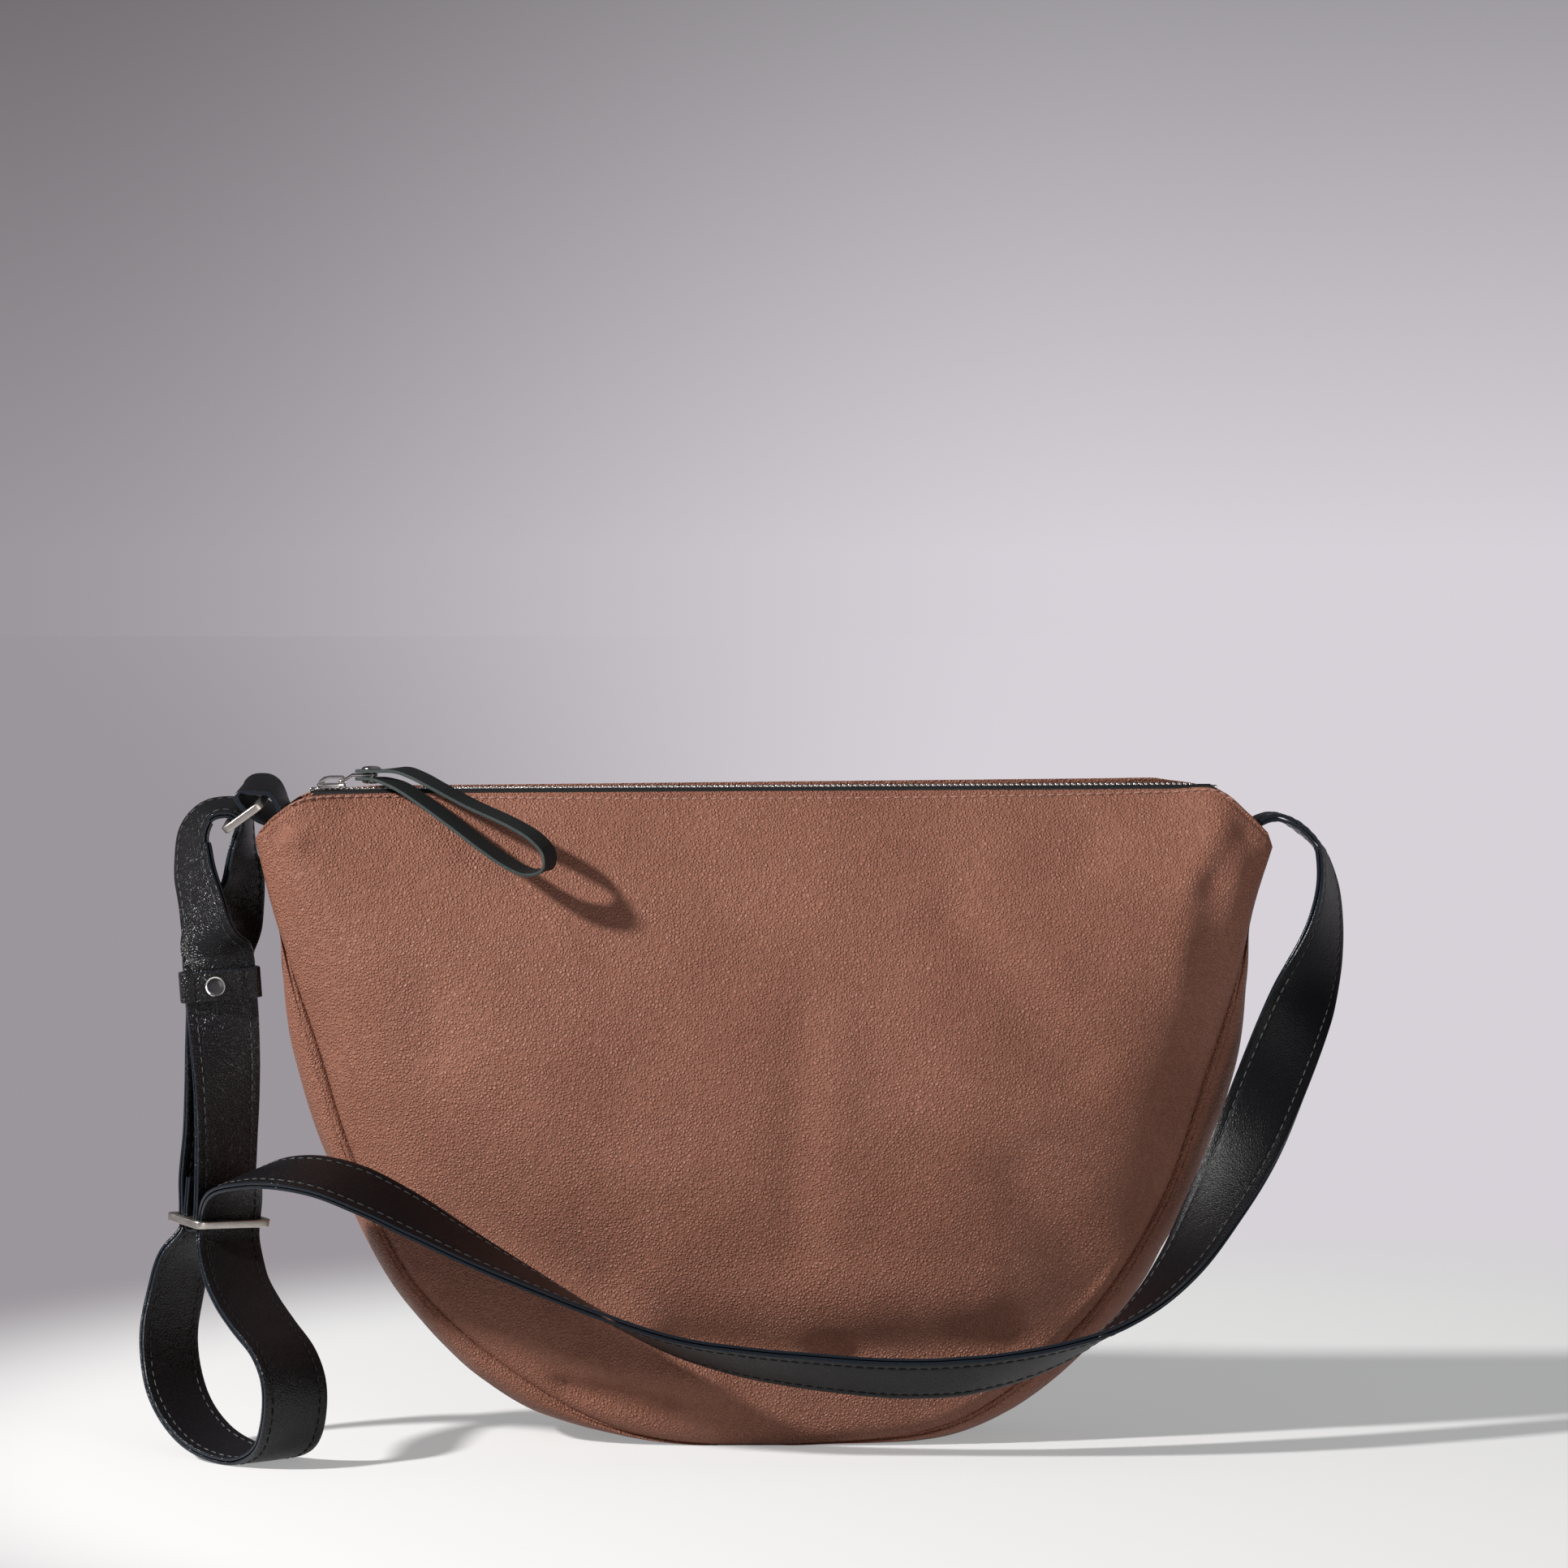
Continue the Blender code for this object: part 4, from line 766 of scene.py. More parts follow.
def tooth(group, given):
    """A rounded tooth that stores the height of its points for painted shade low down, smaller at the zip's
    right end.
    """
    size = add(group, "ShaderNodeCombineXYZ", {0: given["Width"], 1: given["Depth"], 2: given["Tall"]})
    block = add(group, "GeometryNodeMeshCube", {"Size": size.outputs[0]}).outputs[0]
    soft = add(group, "GeometryNodeSubdivisionSurface", {"Mesh": block, "Level": 2, "Edge Crease": 0.5})
    spot = add(group, "GeometryNodeInputPosition").outputs[0]
    spot = add(group, "ShaderNodeSeparateXYZ", {0: spot}).outputs
    mark = {"Geometry": soft.outputs[0], "Name": "height in tooth", "Value": spot["Z"]}
    marked = add(group, "GeometryNodeStoreNamedAttribute", mark, data_type="FLOAT")
    last = maths(group, "ADD", given["End place"], given["End run"])
    shrink = ramp(group, spot["X"], given["End place"], last, 1.0, given["End share"])
    scale = add(group, "ShaderNodeCombineXYZ", {0: 1.0, 1: 1.0, 2: shrink})
    return marked.outputs[0], scale.outputs[0]


def metal(name, colour, rough, streaks, depth, along="Object", stretch=(1.0, 1.0, 1.0), painted_shade_low=False):
    """Plated metal: fine streaks or specks in the polish, and a slow change from handling.

    Teeth with painted_shade_low get painted shade low down: darker towards their foot.
    """
    made, tree, shader = new_material(name, Metallic=1.0)
    place = add(tree, "ShaderNodeTexCoord").outputs[along]
    pulled = add(tree, "ShaderNodeMapping", {"Vector": place, "Scale": stretch}).outputs[0]
    lines = specks(tree, pulled, streaks, 3.0)
    tone = blended(tree, lines, *shades(colour, 0.88, 1))
    if painted_shade_low:
        # painted shade: darker towards the foot of each tooth, by its stored height
        high = add(tree, "ShaderNodeAttribute", attribute_name="height in tooth").outputs["Fac"]
        tone = blended(tree, ramp(tree, high, *TOOTH_SHADE_HEIGHTS), *shades(colour, 0.06), tone)
    mixed = maths(tree, "MULTIPLY", lines, specks(tree, place, 130.0, 3.0))
    surface(tree, shader, tone, ramp(tree, mixed, 0.1, 0.4, rough * 0.75, rough * 1.3), lines, depth, 0.5)
    return made


tooth_sizes = ("Width", "Depth", "Tall", "End place", "End run", "End share")
TOOTH_ROW = row_tree("tooth row", dict.fromkeys(tooth_sizes, "Float"), "X", tooth)
polished_nickel = metal("polished nickel", (0.84, 0.81, 0.77), 0.14, 900.0, 0.000015)
# The teeth's nickel carries painted shade low down
zip_nickel = metal("zip nickel", (0.90, 0.87, 0.84), 0.27, 900.0, 0.000015, painted_shade_low=True)
for name, side, start, tall in (("front", -1, 0.25, FRONT_TEETH_TALL), ("back", 1, 0.75, BACK_TEETH_TALL)):
    depth = COMB_HALF - TOOTH_TIP
    places = (-ZIP_LENGTH / 2 + TOOTH_PITCH * start, END_TEETH_X, END_TEETH_X + END_TEETH_RUN,
              ZIP_LENGTH / 2 - TOOTH_PITCH * (1 - start))
    line = [(x, side * (TOOTH_TIP + depth / 2), zip_height(x) - END_SINK * (x > END_TEETH_X)) for x in places]
    sizes = {"End place": END_TEETH_X, "End run": END_TEETH_RUN, "End share": END_TEETH_SHARE}
    teeth = grown(name + " teeth", [line], TOOTH_ROW, zip_nickel, Pitch=TOOTH_PITCH, Width=TOOTH_WIDTH,
                  Depth=depth, Tall=tall, **sizes)
    dressed(teeth, "bag", ["zip_teeth_" + name])


# Zip stops and slider
# A bent metal stop closes each end of the teeth. The slider is two cast plates joined by a neck, with a
# bridge on top that holds the wire link.

SLIDER_X = -ZIP_LENGTH / 2
SLIDER_LENGTH = 0.0115
CHANNEL_HALF = COMB_HALF + RUN_GAP
CHANNEL_HIGH = COMB_HEIGHT / 2 + RUN_GAP
PLATE_THICK = 0.0012
SLIDER_HALF = CHANNEL_HALF + PLATE_THICK
SLIDER_HIGH = CHANNEL_HIGH + PLATE_THICK
SLIDER_SHARE_ENDS = 0.62
SLOT_HIGH = 0.0006
NECK_HALF = 0.0003
NECK_LENGTH = 0.0016
BRIDGE_HALF = 0.0012
BRIDGE_THICK = 0.0011
BRIDGE_ROOM = 0.0020
STOP_LENGTH = 0.0024
STOP_SINK = 1.5 * END_SINK
STOP_EDGE = 0.0005
CASTING_EDGE = 0.00018
SLIDER_NOSE = 0.0022
SLIDER_TAIL = 0.0026
PLATE_BITE = 0.0004
ROUND_STEPS = 8


def zip_point(x, y, z):
    """A point given in the slider's own frame, in the row's frame."""
    tilt = math.atan2(ZIP_RISE, ZIP_LENGTH)
    origin = np.array([SLIDER_X, 0, zip_height(SLIDER_X)])
    along = np.array([math.cos(tilt), 0, math.sin(tilt)])
    up = np.array([-math.sin(tilt), 0, math.cos(tilt)])
    return origin + x * along + np.array([0, y, 0]) + z * up


def slab(outline, low, high, flat=(0, 1, 2)):
    """Vertices and faces of an outline raised from low to high along its third axis."""
    count = len(outline)
    points = []
    for level in (low, high):
        for first, second in outline:
            spot = [0, 0, 0]
            spot[flat[0]], spot[flat[1]], spot[flat[2]] = first, second, level
            points.append(spot)
    faces = [tuple(reversed(range(count))), tuple(range(count, 2 * count))]
    faces += [(step, (step + 1) % count, count + (step + 1) % count, count + step) for step in range(count)]
    return points, faces


def oblong(x0, x1, y0, y1):
    """The corners of a rectangle, in order."""
    return [(x0, y0), (x1, y0), (x1, y1), (x0, y1)]


def cast_piece(name, parts, place, material, edge):
    """Slabs kept as one piece, set in place, its edges softened."""
    mesh = bpy.data.meshes.new(name)
    shape = bmesh.new()
    for points, faces in parts:
        made = [shape.verts.new(place(*point)) for point in points]
        for face in faces:
            shape.faces.new([made[corner] for corner in face])
    bmesh.ops.recalc_face_normals(shape, faces=shape.faces)
    sharp = [e for e in shape.edges if len(e.link_faces) == 2 and e.calc_face_angle(0) > math.radians(30)]
    bmesh.ops.bevel(shape, geom=sharp, offset=edge, segments=3, affect="EDGES", profile=0.5,
                    clamp_overlap=True)
    return linked(name, finished(shape, mesh, 30), material)


stops = (("left", -RUN_GAP - STOP_LENGTH, 0), ("right", ZIP_LENGTH + RUN_GAP, STOP_SINK))
for name, start, sink in stops:
    outline = oblong(start, start + STOP_LENGTH, -COMB_HALF, COMB_HALF)
    block = slab(outline, -COMB_HEIGHT / 2 - sink / 2, COMB_HEIGHT / 2 - sink)
    stop = cast_piece(name + " end stop", [block], zip_point, polished_nickel, STOP_EDGE)
    dressed(stop, "bag", ["zip_stop_" + name])

narrow = SLIDER_HALF * SLIDER_SHARE_ENDS
tail = SLIDER_LENGTH - SLIDER_TAIL
plate = [(0, -narrow), (SLIDER_NOSE, -SLIDER_HALF), (tail, -SLIDER_HALF), (SLIDER_LENGTH, -narrow),
         (SLIDER_LENGTH, narrow), (tail, SLIDER_HALF), (SLIDER_NOSE, SLIDER_HALF), (0, narrow)]
parts = [slab(plate, CHANNEL_HIGH, SLIDER_HIGH), slab(plate, -SLIDER_HIGH, -CHANNEL_HIGH)]
bite = CHANNEL_HIGH + PLATE_BITE
for side in (-1, 1):
    lip = oblong(SLIDER_NOSE, tail, side * CHANNEL_HALF, side * SLIDER_HALF)
    parts += [slab(lip, SLOT_HIGH, bite), slab(lip, -bite, -SLOT_HIGH)]
parts.append(slab(oblong(0, NECK_LENGTH, -NECK_HALF, NECK_HALF), -bite, bite))
arch_top = SLIDER_HIGH + BRIDGE_ROOM + BRIDGE_THICK
foot = SLIDER_HIGH - PLATE_BITE
arch = [(0.0003, foot), (0.0006, SLIDER_HIGH + 0.0012), (0.0026, arch_top - 0.0005), (0.0048, arch_top)]
arch += [(SLIDER_LENGTH - back, high) for back, high in (
    (0.0014, arch_top), (0.0003, arch_top - 0.0012), (0.0001, foot), (0.0011, foot),
    (0.0012, arch_top - 0.0016), (0.0018, arch_top - BRIDGE_THICK))]
arch += [(0.0050, arch_top - BRIDGE_THICK), (0.0034, arch_top - 0.0016), (0.0024, foot)]
parts.append(slab(arch, -BRIDGE_HALF, BRIDGE_HALF, (0, 2, 1)))
slider = cast_piece("slider casting", parts, zip_point, polished_nickel, CASTING_EDGE)
dressed(slider, "slider", ["zip_slider"])


# Wire link
# A closed loop of nickel wire goes through the slider's bridge and carries the leather pull.

LINK_WIRE = 0.0012
LINK_RISE = 0.0023
LINK_BEND = 0.005
LINK_REACH = 0.0125
LINK_KNEE_SHARES = (0.55, 0.35)
LINK_UPWARD = (0.0, 0.02, 1.0)
WIRE_SIDES = 14
LINK_X = SLIDER_LENGTH - BRIDGE_THICK - (BRIDGE_ROOM - LINK_WIRE) / 2 - LINK_WIRE
LINK_HIGH = SLIDER_HIGH + BRIDGE_ROOM / 2
RIVET_X = LINK_X + LINK_REACH
RIVET_PLACE = zip_point(RIVET_X, 0, LINK_HIGH + LINK_RISE)
RIVET_POST = 0.0010
SHORTEST_STEP = 0.0003


def smooth_route(rows, step):
    """Rows that start with a place, resampled about step apart on a soft curve; the rest blends evenly."""
    rows = np.asarray(rows, float)
    places = rows[:, :3]
    padded = np.vstack([2 * places[0] - places[1], places, 2 * places[-1] - places[-2]])
    found = []
    for index in range(len(rows) - 1):
        p0, p1, p2, p3 = padded[index : index + 4]
        t1, span, last = (math.sqrt(max(np.linalg.norm(b - a), SHORTEST_STEP))
                          for a, b in ((p0, p1), (p1, p2), (p2, p3)))
        t2 = t1 + span
        t3 = t2 + last
        count = max(1, round(np.linalg.norm(p2 - p1) / step))
        for part in range(count):
            t = t1 + span * part / count
            a1 = p0 * (t1 - t) / t1 + p1 * t / t1
            a2 = p1 * (t2 - t) / span + p2 * (t - t1) / span
            a3 = p2 * (t3 - t) / last + p3 * (t - t2) / last
            b1 = a1 * (t2 - t) / t2 + a2 * t / t2
            b2 = a2 * (t3 - t) / (t3 - t1) + a3 * (t - t1) / (t3 - t1)
            place = b1 * (t2 - t) / span + b2 * (t - t1) / span
            others = rows[index, 3:] + (rows[index + 1, 3:] - rows[index, 3:]) * part / count
            found.append(np.concatenate([place, others]))
    found.append(rows[-1])
    return np.array(found)


def steady(values, reach):
    """Evens out a run of values over a few neighbours, ends kept."""
    ends = [np.repeat(end, reach, axis=0) for end in (values[:1], values[-1:])]
    padded = np.concatenate([ends[0], values, ends[1]])
    weights = np.hanning(2 * reach + 3)[1:-1]
    weights /= weights.sum()
    return sum(w * padded[shift : shift + len(values)] for shift, w in enumerate(weights))


def run_frames(places, across, loop=False):
    """Directions across a run of places and out of its face, both square to the run."""
    if loop:
        along = unit(np.roll(places, -1, axis=0) - np.roll(places, 1, axis=0))
    else:
        along = unit(np.gradient(places, axis=0))
    across = unit(across - np.sum(across * along, axis=1, keepdims=True) * along)
    return across, np.cross(across, along)


def swept(name, places, across, profile, *materials, loop=False, edges=None):
    """A profile of (across, normal) offsets carried along a run, closed at both ends or into a loop."""
    places = np.asarray(places, float)
    across, normal = run_frames(places, np.asarray(across, float), loop)
    profile = np.asarray(profile, float)
    points = places[:, None] + profile[:, :1] * across[:, None] + profile[:, 1:2] * normal[:, None]
    count, around = points.shape[:2]
    index = np.arange(count * around).reshape(count, around)
    ahead = np.roll(index, -1, axis=0) if loop else index[1:]
    here = index if loop else index[:-1]
    quads = np.stack([here, np.roll(here, -1, axis=1), np.roll(ahead, -1, axis=1), ahead], axis=-1)
    faces = quads.reshape(-1, 4).tolist()
    if not loop:
        faces += [index[0, ::-1].tolist(), index[-1].tolist()]
    mesh = bpy.data.meshes.new(name)
    mesh.from_pydata(points.reshape(-1, 3).tolist(), [], faces)
    lengths = np.concatenate([[0], np.cumsum(np.linalg.norm(np.diff(places, axis=0), axis=1))])
    girth = np.concatenate([[0], np.cumsum(np.linalg.norm(np.diff(profile, axis=0), axis=1))])
    layer = mesh.uv_layers.new(name="length and girth")
    spots = np.array([corner.vertex_index for corner in mesh.loops])
    layer.data.foreach_set("uv", np.stack([lengths[spots // around], girth[spots % around]], axis=1).ravel())
    if edges is not None:
        mark = mesh.attributes.new("cut edge", "FLOAT", "POINT")
        mark.data.foreach_set("value", np.tile(np.asarray(edges, np.float32), count))
    shape = bmesh.new()
    shape.from_mesh(mesh)
    return linked(name, finished(shape, mesh, 45), *materials)


link_half = max(BRIDGE_HALF, RIVET_POST) + RUN_GAP + LINK_WIRE / 2
link_high = LINK_HIGH + LINK_RISE
wire = []
for step in range(ROUND_STEPS + 1):
    angle = math.pi * (0.5 + step / ROUND_STEPS)
    wire.append((LINK_X + link_half * 0.5 * (1 + math.cos(angle)), link_half * math.sin(angle), LINK_HIGH))
knee = (LINK_X + LINK_BEND * LINK_KNEE_SHARES[0], LINK_HIGH + LINK_RISE * LINK_KNEE_SHARES[1])
wire += [(knee[0], -link_half, knee[1]), (LINK_X + LINK_BEND, -link_half, link_high)]
for step in range(ROUND_STEPS * 2 + 1):
    angle = math.pi * (step / ROUND_STEPS / 2 - 0.5)
    wire.append((RIVET_X + link_half * math.cos(angle), link_half * math.sin(angle), link_high))
wire += [(LINK_X + LINK_BEND, link_half, link_high), (knee[0], link_half, knee[1])]
wire = np.array([zip_point(*spot) for spot in wire])
turns = np.linspace(0, 2 * math.pi, WIRE_SIDES, endpoint=False)
profile = np.stack([LINK_WIRE / 2 * np.cos(turns), LINK_WIRE / 2 * np.sin(turns)], axis=1)
upward = np.tile(LINK_UPWARD, (len(wire), 1))
link = swept("wire link", wire, upward, profile, polished_nickel, loop=True)
dressed(link, "link", ["puller_link"])


# Leather pull and rivet
# A strip of raw-edged leather is folded into a long loop and riveted through the wire link. The loop leans
# over the mouth and hangs in front of the panel.

PULL_REACH = 0.084
PULL_WIDTH = 0.010
PULL_THICK = 0.0013
PULL_ACROSS = (0.42, 0.89, 0.16)
PULL_LEVEL_SHARE = 0.5
PULL_STEP = 0.0016
PULL_CORNER = 0.00028
PULL_ROUTE_SHARES = (
    (0.150, -0.110, 0.027),
    (0.230, -0.172, 0.003),
    (0.330, -0.250, -0.044),
    (0.490, -0.320, -0.124),
    (0.690, -0.430, -0.209),
    (0.800, -0.490, -0.274),
    (0.855, -0.520, -0.344),
    (0.845, -0.535, -0.409),
    (0.770, -0.515, -0.429),
    (0.680, -0.485, -0.394),
    (0.570, -0.445, -0.324),
    (0.420, -0.370, -0.217),
    (0.260, -0.266, -0.109),
    (0.150, -0.172, -0.046),
)
RIVET_CAP_RADIUS = 0.0038
RIVET_CAP_HEIGHT = 0.0012
CUT_FROM = 0.3
ROUND_SIDES = 48
TURNED_START = (1.0, 0.3, 0.2)
DOME_STEPS = 6
DOME_EDGE = 0.0003
DOME_FULLNESS = 0.6


def flat_profile(half, low, high, corner, steps=4):
    """A flat strip's cross-section with rounded corners, and a mark of 1 where it is cut edge."""
    points = []
    marks = []
    for side_u, side_v, start in ((1, -1, -0.5), (1, 1, 0.0), (-1, 1, 0.5), (-1, -1, 1.0)):
        for step in range(steps + 1):
            angle = math.pi * (start + 0.5 * step / steps)
            middle = (low + corner) if side_v < 0 else (high - corner)
            across, up = math.cos(angle), math.sin(angle)
            points.append((side_u * (half - corner) + corner * across, middle + corner * up))
            marks.append(1.0 if abs(across) > CUT_FROM else 0.0)
    return points, marks


def turned(name, profile, centre, axis, material):
    """A round piece turned about an axis from (radius, height) points that start and end on it."""
    axis = unit(axis)
    first = unit(np.cross(axis, TURNED_START))
    second = np.cross(axis, first)
    centre = np.asarray(centre, float)
    points = [centre + axis * profile[0][1]]
    for radius, height in profile[1:-1]:
        for turn in np.linspace(0, 2 * math.pi, ROUND_SIDES, endpoint=False):
            out = math.cos(turn) * first + math.sin(turn) * second
            points.append(centre + axis * height + radius * out)
    points.append(centre + axis * profile[-1][1])
    faces = []
    last = len(points) - 1
    for side in range(ROUND_SIDES):
        beside = (side + 1) % ROUND_SIDES
        faces.append((0, 1 + beside, 1 + side))
        for ring in range(len(profile) - 3):
            low = 1 + ring * ROUND_SIDES
            faces.append((low + side, low + beside, low + ROUND_SIDES + beside, low + ROUND_SIDES + side))
        low = 1 + (len(profile) - 3) * ROUND_SIDES
        faces.append((low + side, low + beside, last))
    mesh = bpy.data.meshes.new(name)
    mesh.from_pydata([tuple(point) for point in points], [], faces)
    return linked(name, outward(mesh), material)


def dome(radius, low, high):
    """A low domed cap as (radius, height) points."""
    edge = low + DOME_EDGE
    points = [(0, low), (radius - DOME_EDGE, low), (radius, edge)]
    for step in range(DOME_STEPS):
        turn = math.pi / 2 * step / DOME_STEPS
        rise = (high - low - DOME_EDGE) * math.sin(turn)
        points.append((radius * math.cos(turn) ** DOME_FULLNESS, edge + rise))
    return [*points, (0, high)]


POLISHED_X = (-0.185, -0.14)
POLISHED_TO_DULL = (0.36, 0.13)
DULL_GRAIN_SHARE = 0.35


def edged_leather(name, light, dark, edge_colour, rough, edge_rough, pebbles, depth, handled=False,
                  **sockets):
    """Leather with its own grain on the faces and a second finish on the cut edge.

    Handled leather is polished and creased near the hardware, and dull away from it.
    """
    made, tree, shader = new_material(name, **sockets)
    grain = add(tree, "ShaderNodeGroup", {"Pebbles per metre": pebbles}, node_tree=LEATHER_GRAIN).outputs
    mark = add(tree, "ShaderNodeAttribute", attribute_name="cut edge").outputs["Fac"]
    rim = ramp(tree, mark, 0.35, 0.75)
    fray = specks(tree, object_place(tree), 1500.0, 4.0)
    face = blended(tree, grain["Tone"], dark, light)
    cut = blended(tree, fray, *shades(edge_colour, 0.5, 1.5))
    shine = ramp(tree, grain["Tone"], 0.0, 1.0, rough + 0.06, rough - 0.05)
    height, gloss = (
        add(tree, "ShaderNodeMix", {0: rim, 2: inner, 3: edge}, data_type="FLOAT").outputs[0]
        for inner, edge in ((grain["Height"], fray), (shine, edge_rough))
    )
    if handled:
        along = add(tree, "ShaderNodeSeparateXYZ", {0: object_place(tree)}).outputs["X"]
        tree.links.new(ramp(tree, along, *POLISHED_X, *POLISHED_TO_DULL), shader.inputs["Specular IOR Level"])
        depth = ramp(tree, along, *POLISHED_X, depth, depth * DULL_GRAIN_SHARE)
    surface(tree, shader, blended(tree, rim, face, cut), gloss, height, depth)
    return made


pull_leather = edged_leather("pull leather", (0.013, 0.0145, 0.0145), (0.008, 0.009, 0.0095),
                             (0.040, 0.050, 0.049), 0.62, 0.85, 900.0, 0.00012,
                             Specular_IOR_Level=0.2)
spread = LINK_WIRE / 2 + RUN_GAP + PULL_THICK / 2
aim = unit(np.array(PULL_ROUTE_SHARES[0]) * (1, 1, 0)) * (RIVET_CAP_RADIUS + RUN_GAP)
lift = np.array([0, 0, spread])
rows = [lift - aim, lift, lift + aim]
rows += [np.array(shares) * PULL_REACH for shares in PULL_ROUTE_SHARES]
rows += [aim - lift, -lift, -lift - aim]
rows = RIVET_PLACE + smooth_route(rows, PULL_STEP)
lean = np.clip((rows[:, :1] - RIVET_PLACE[0]) / PULL_WIDTH - PULL_LEVEL_SHARE, 0, 1)
across = unit(np.cross((0, 0, 1), aim) / np.linalg.norm(aim) * (1 - lean) + np.array(PULL_ACROSS) * lean)
profile, marks = flat_profile(PULL_WIDTH / 2, -PULL_THICK / 2, PULL_THICK / 2, PULL_CORNER)
pull = swept("pull strip", rows, steady(across, 3), profile, pull_leather, edges=marks)
dressed(pull, "pull", ["leather_pull"])

seat = spread + PULL_THICK / 2 - 0.0001
crown = seat + RIVET_CAP_HEIGHT + 0.0002
post = [(0, -seat), (RIVET_POST, -seat), (RIVET_POST, seat)]
head = dome(RIVET_CAP_RADIUS, seat, crown)
for name, profile, up in (("cap", post + head[1:], 1), ("base", head, -1)):
    rivet = turned("rivet " + name, profile, RIVET_PLACE, (0, 0, up), polished_nickel)
    dressed(rivet, "pull", ["pull_rivet_" + name])


# Left tab
# A short strip of black leather is folded round the ring's bar and sewn shut between the panels at the left
# corner of the mouth.

STRAP_WIDTH = 0.028
RING_BAR = 0.0026
BAR_SHOWN = 0.0030
RING_SHORT = 0.0190
RING_SIDE_GAP = 0.0023
RING_PLACE_SHARES = (-0.9825, -0.010, 0.9890)
RING_LONG = (0.05, 0.975, 0.21)
RING_SHORT_WAY = (0.79, -0.20, 0.56)
TAB_WIDTH = 0.0283
TAB_THICK = 0.0022
TAB_STEP = 0.001
TAB_CORNER = 0.0006
TAB_ROUTE_SHARES = (
    (-0.9300, 0.9485),
    (-0.9580, 0.9505),
    (-0.9925, 0.9660),
    (-1.0175, 0.9820),
    (-1.0265, 0.9935),
    (-1.0150, 1.0025),
    (-0.9940, 1.0045),
    (-0.9700, 1.0000),
    (-0.9575, 0.9885),
    (-0.9510, 0.9770),
    (-0.9430, 0.9650),
    (-0.9300, 0.9590),
)


def frame_of(place_shares, across, up):
    """A hardware frame: its centre, and unit directions across, through (away from the front) and up."""
    centre = np.array([HALF_WIDTH, HALF_DEPTH, BAG_HEIGHT]) * place_shares
    across = unit(across)
    up = unit(np.asarray(up, float) - np.dot(up, across) * across)
    return centre, across, np.cross(up, across), up


def framed_point(hardware):
    """Turns a point on a hardware frame's own axes into a place."""
    centre, across, through, up = hardware
    return lambda x, y, z: centre + across * x + through * y + up * z


RING_FRAME = frame_of(RING_PLACE_SHARES, RING_LONG, RING_SHORT_WAY)
black_leather = edged_leather("black leather", (0.0048, 0.0044, 0.0056), (0.0026, 0.0024, 0.0031),
                              (0.011, 0.015, 0.021), 0.37, 0.18, 950.0, 0.00019, handled=True)
rows = smooth_route([(x * HALF_WIDTH, 0, z * BAG_HEIGHT) for x, z in TAB_ROUTE_SHARES], TAB_STEP)
sewn = rows[0, 0]
lean = np.clip((sewn - rows[:, :1]) / (sewn - RING_FRAME[0][0]), 0, 1)
across = unit(RING_FRAME[1] * lean + np.array([0, 1, 0]) * (1 - lean))
profile, marks = flat_profile(TAB_WIDTH / 2, -TAB_THICK / 2, TAB_THICK / 2, TAB_CORNER)
tab = swept("ring tab", rows, across, profile, black_leather, edges=marks)
dressed(tab, "bag", ["left_tab"])


# Strap ring
# A flat brushed rectangle of square wire joins the tab to the strap. Its corners are softly rounded, and its
# brushing runs along the wire.

CORNER_STEPS = 5
RING_CORNER = 0.0004
BAR_CORNER = 0.0004
BAR_STEP = 0.002


def rounded_loop(points, radius):
    """A closed flat path through corner points, each corner rounded."""
    points = np.asarray(points, float)
    path = []
    for index, corner in enumerate(points):
        before = unit(points[index - 1] - corner)
        after = unit(points[(index + 1) % len(points)] - corner)
        middle = corner + (before + after) * radius
        for turn in np.linspace(0, math.pi / 2, CORNER_STEPS + 1):
            path.append(middle - after * radius * math.cos(turn) - before * radius * math.sin(turn))
    return np.array(path)


def straightened(path, step):
    """A closed path with extra places along its straight parts."""
    found = []
    for start, end in zip(path, np.roll(path, -1, axis=0)):
        count = max(1, round(np.linalg.norm(end - start) / step))
        found += [start + (end - start) * part / count for part in range(count)]
    return np.array(found)


brushed_nickel = metal("brushed nickel", (0.58, 0.545, 0.50), 0.34, 60.0, 0.00003, "UV", (3.0, 260.0, 1.0))
half_long = STRAP_WIDTH / 2 + RING_SIDE_GAP + RING_BAR / 2
point = framed_point(RING_FRAME)
corners = [point(x, 0, z) for x, z in oblong(-half_long, half_long, 0, RING_BAR - RING_SHORT)]
path = straightened(rounded_loop(corners, RING_BAR / 2 + RING_CORNER), BAR_STEP)
bar_profile, _ = flat_profile(BAR_SHOWN / 2, -BAR_SHOWN / 2, BAR_SHOWN / 2, BAR_CORNER, 3)
away = np.tile(RING_FRAME[2], (len(path), 1))
ring = swept("ring wire", path, away, bar_profile, brushed_nickel, loop=True)
dressed(ring, "ring", ["strap_ring"])


# Keeper band
# A band of black leather wraps both plies of the strap and closes in front on itself under a snap. The snap
# has a thin bright rim and a black face.

STRAP_LAYER = 0.00135
LAYER_GAP = 0.0003
STRAP_THICK = 2 * STRAP_LAYER + LAYER_GAP
KEEPER_PLACE_SHARES = (-1.068, -0.22, 0.699)
KEEPER_ACROSS = (0.975, 0.20, 0.07)
KEEPER_UP = (-0.18, -0.02, 0.98)
KEEPER_HEIGHT = 0.0120
KEEPER_THICK = 0.0013
KEEPER_ROOM = 0.0006
KEEPER_LAP = 0.014
KEEPER_RAMP = 0.0075
KEEPER_CORNER = 0.0022
KEEPER_EDGE = 0.0004
LAP_START = 0.004
LAP_PARTS = (0.1, 0.3, 0.6, 0.93)
LAP_TURN = 0.0005
PLY_GAP = 0.0010
PLY_OFFSET = (STRAP_THICK + PLY_GAP) / 2
SNAP_RADIUS = 0.0040
SNAP_HEIGHT = 0.0016
SNAP_RIM = 0.0008
SNAP_PLACE_SHARE = -0.10
BAND_STEPS = 6
LAP_STEPS = 8

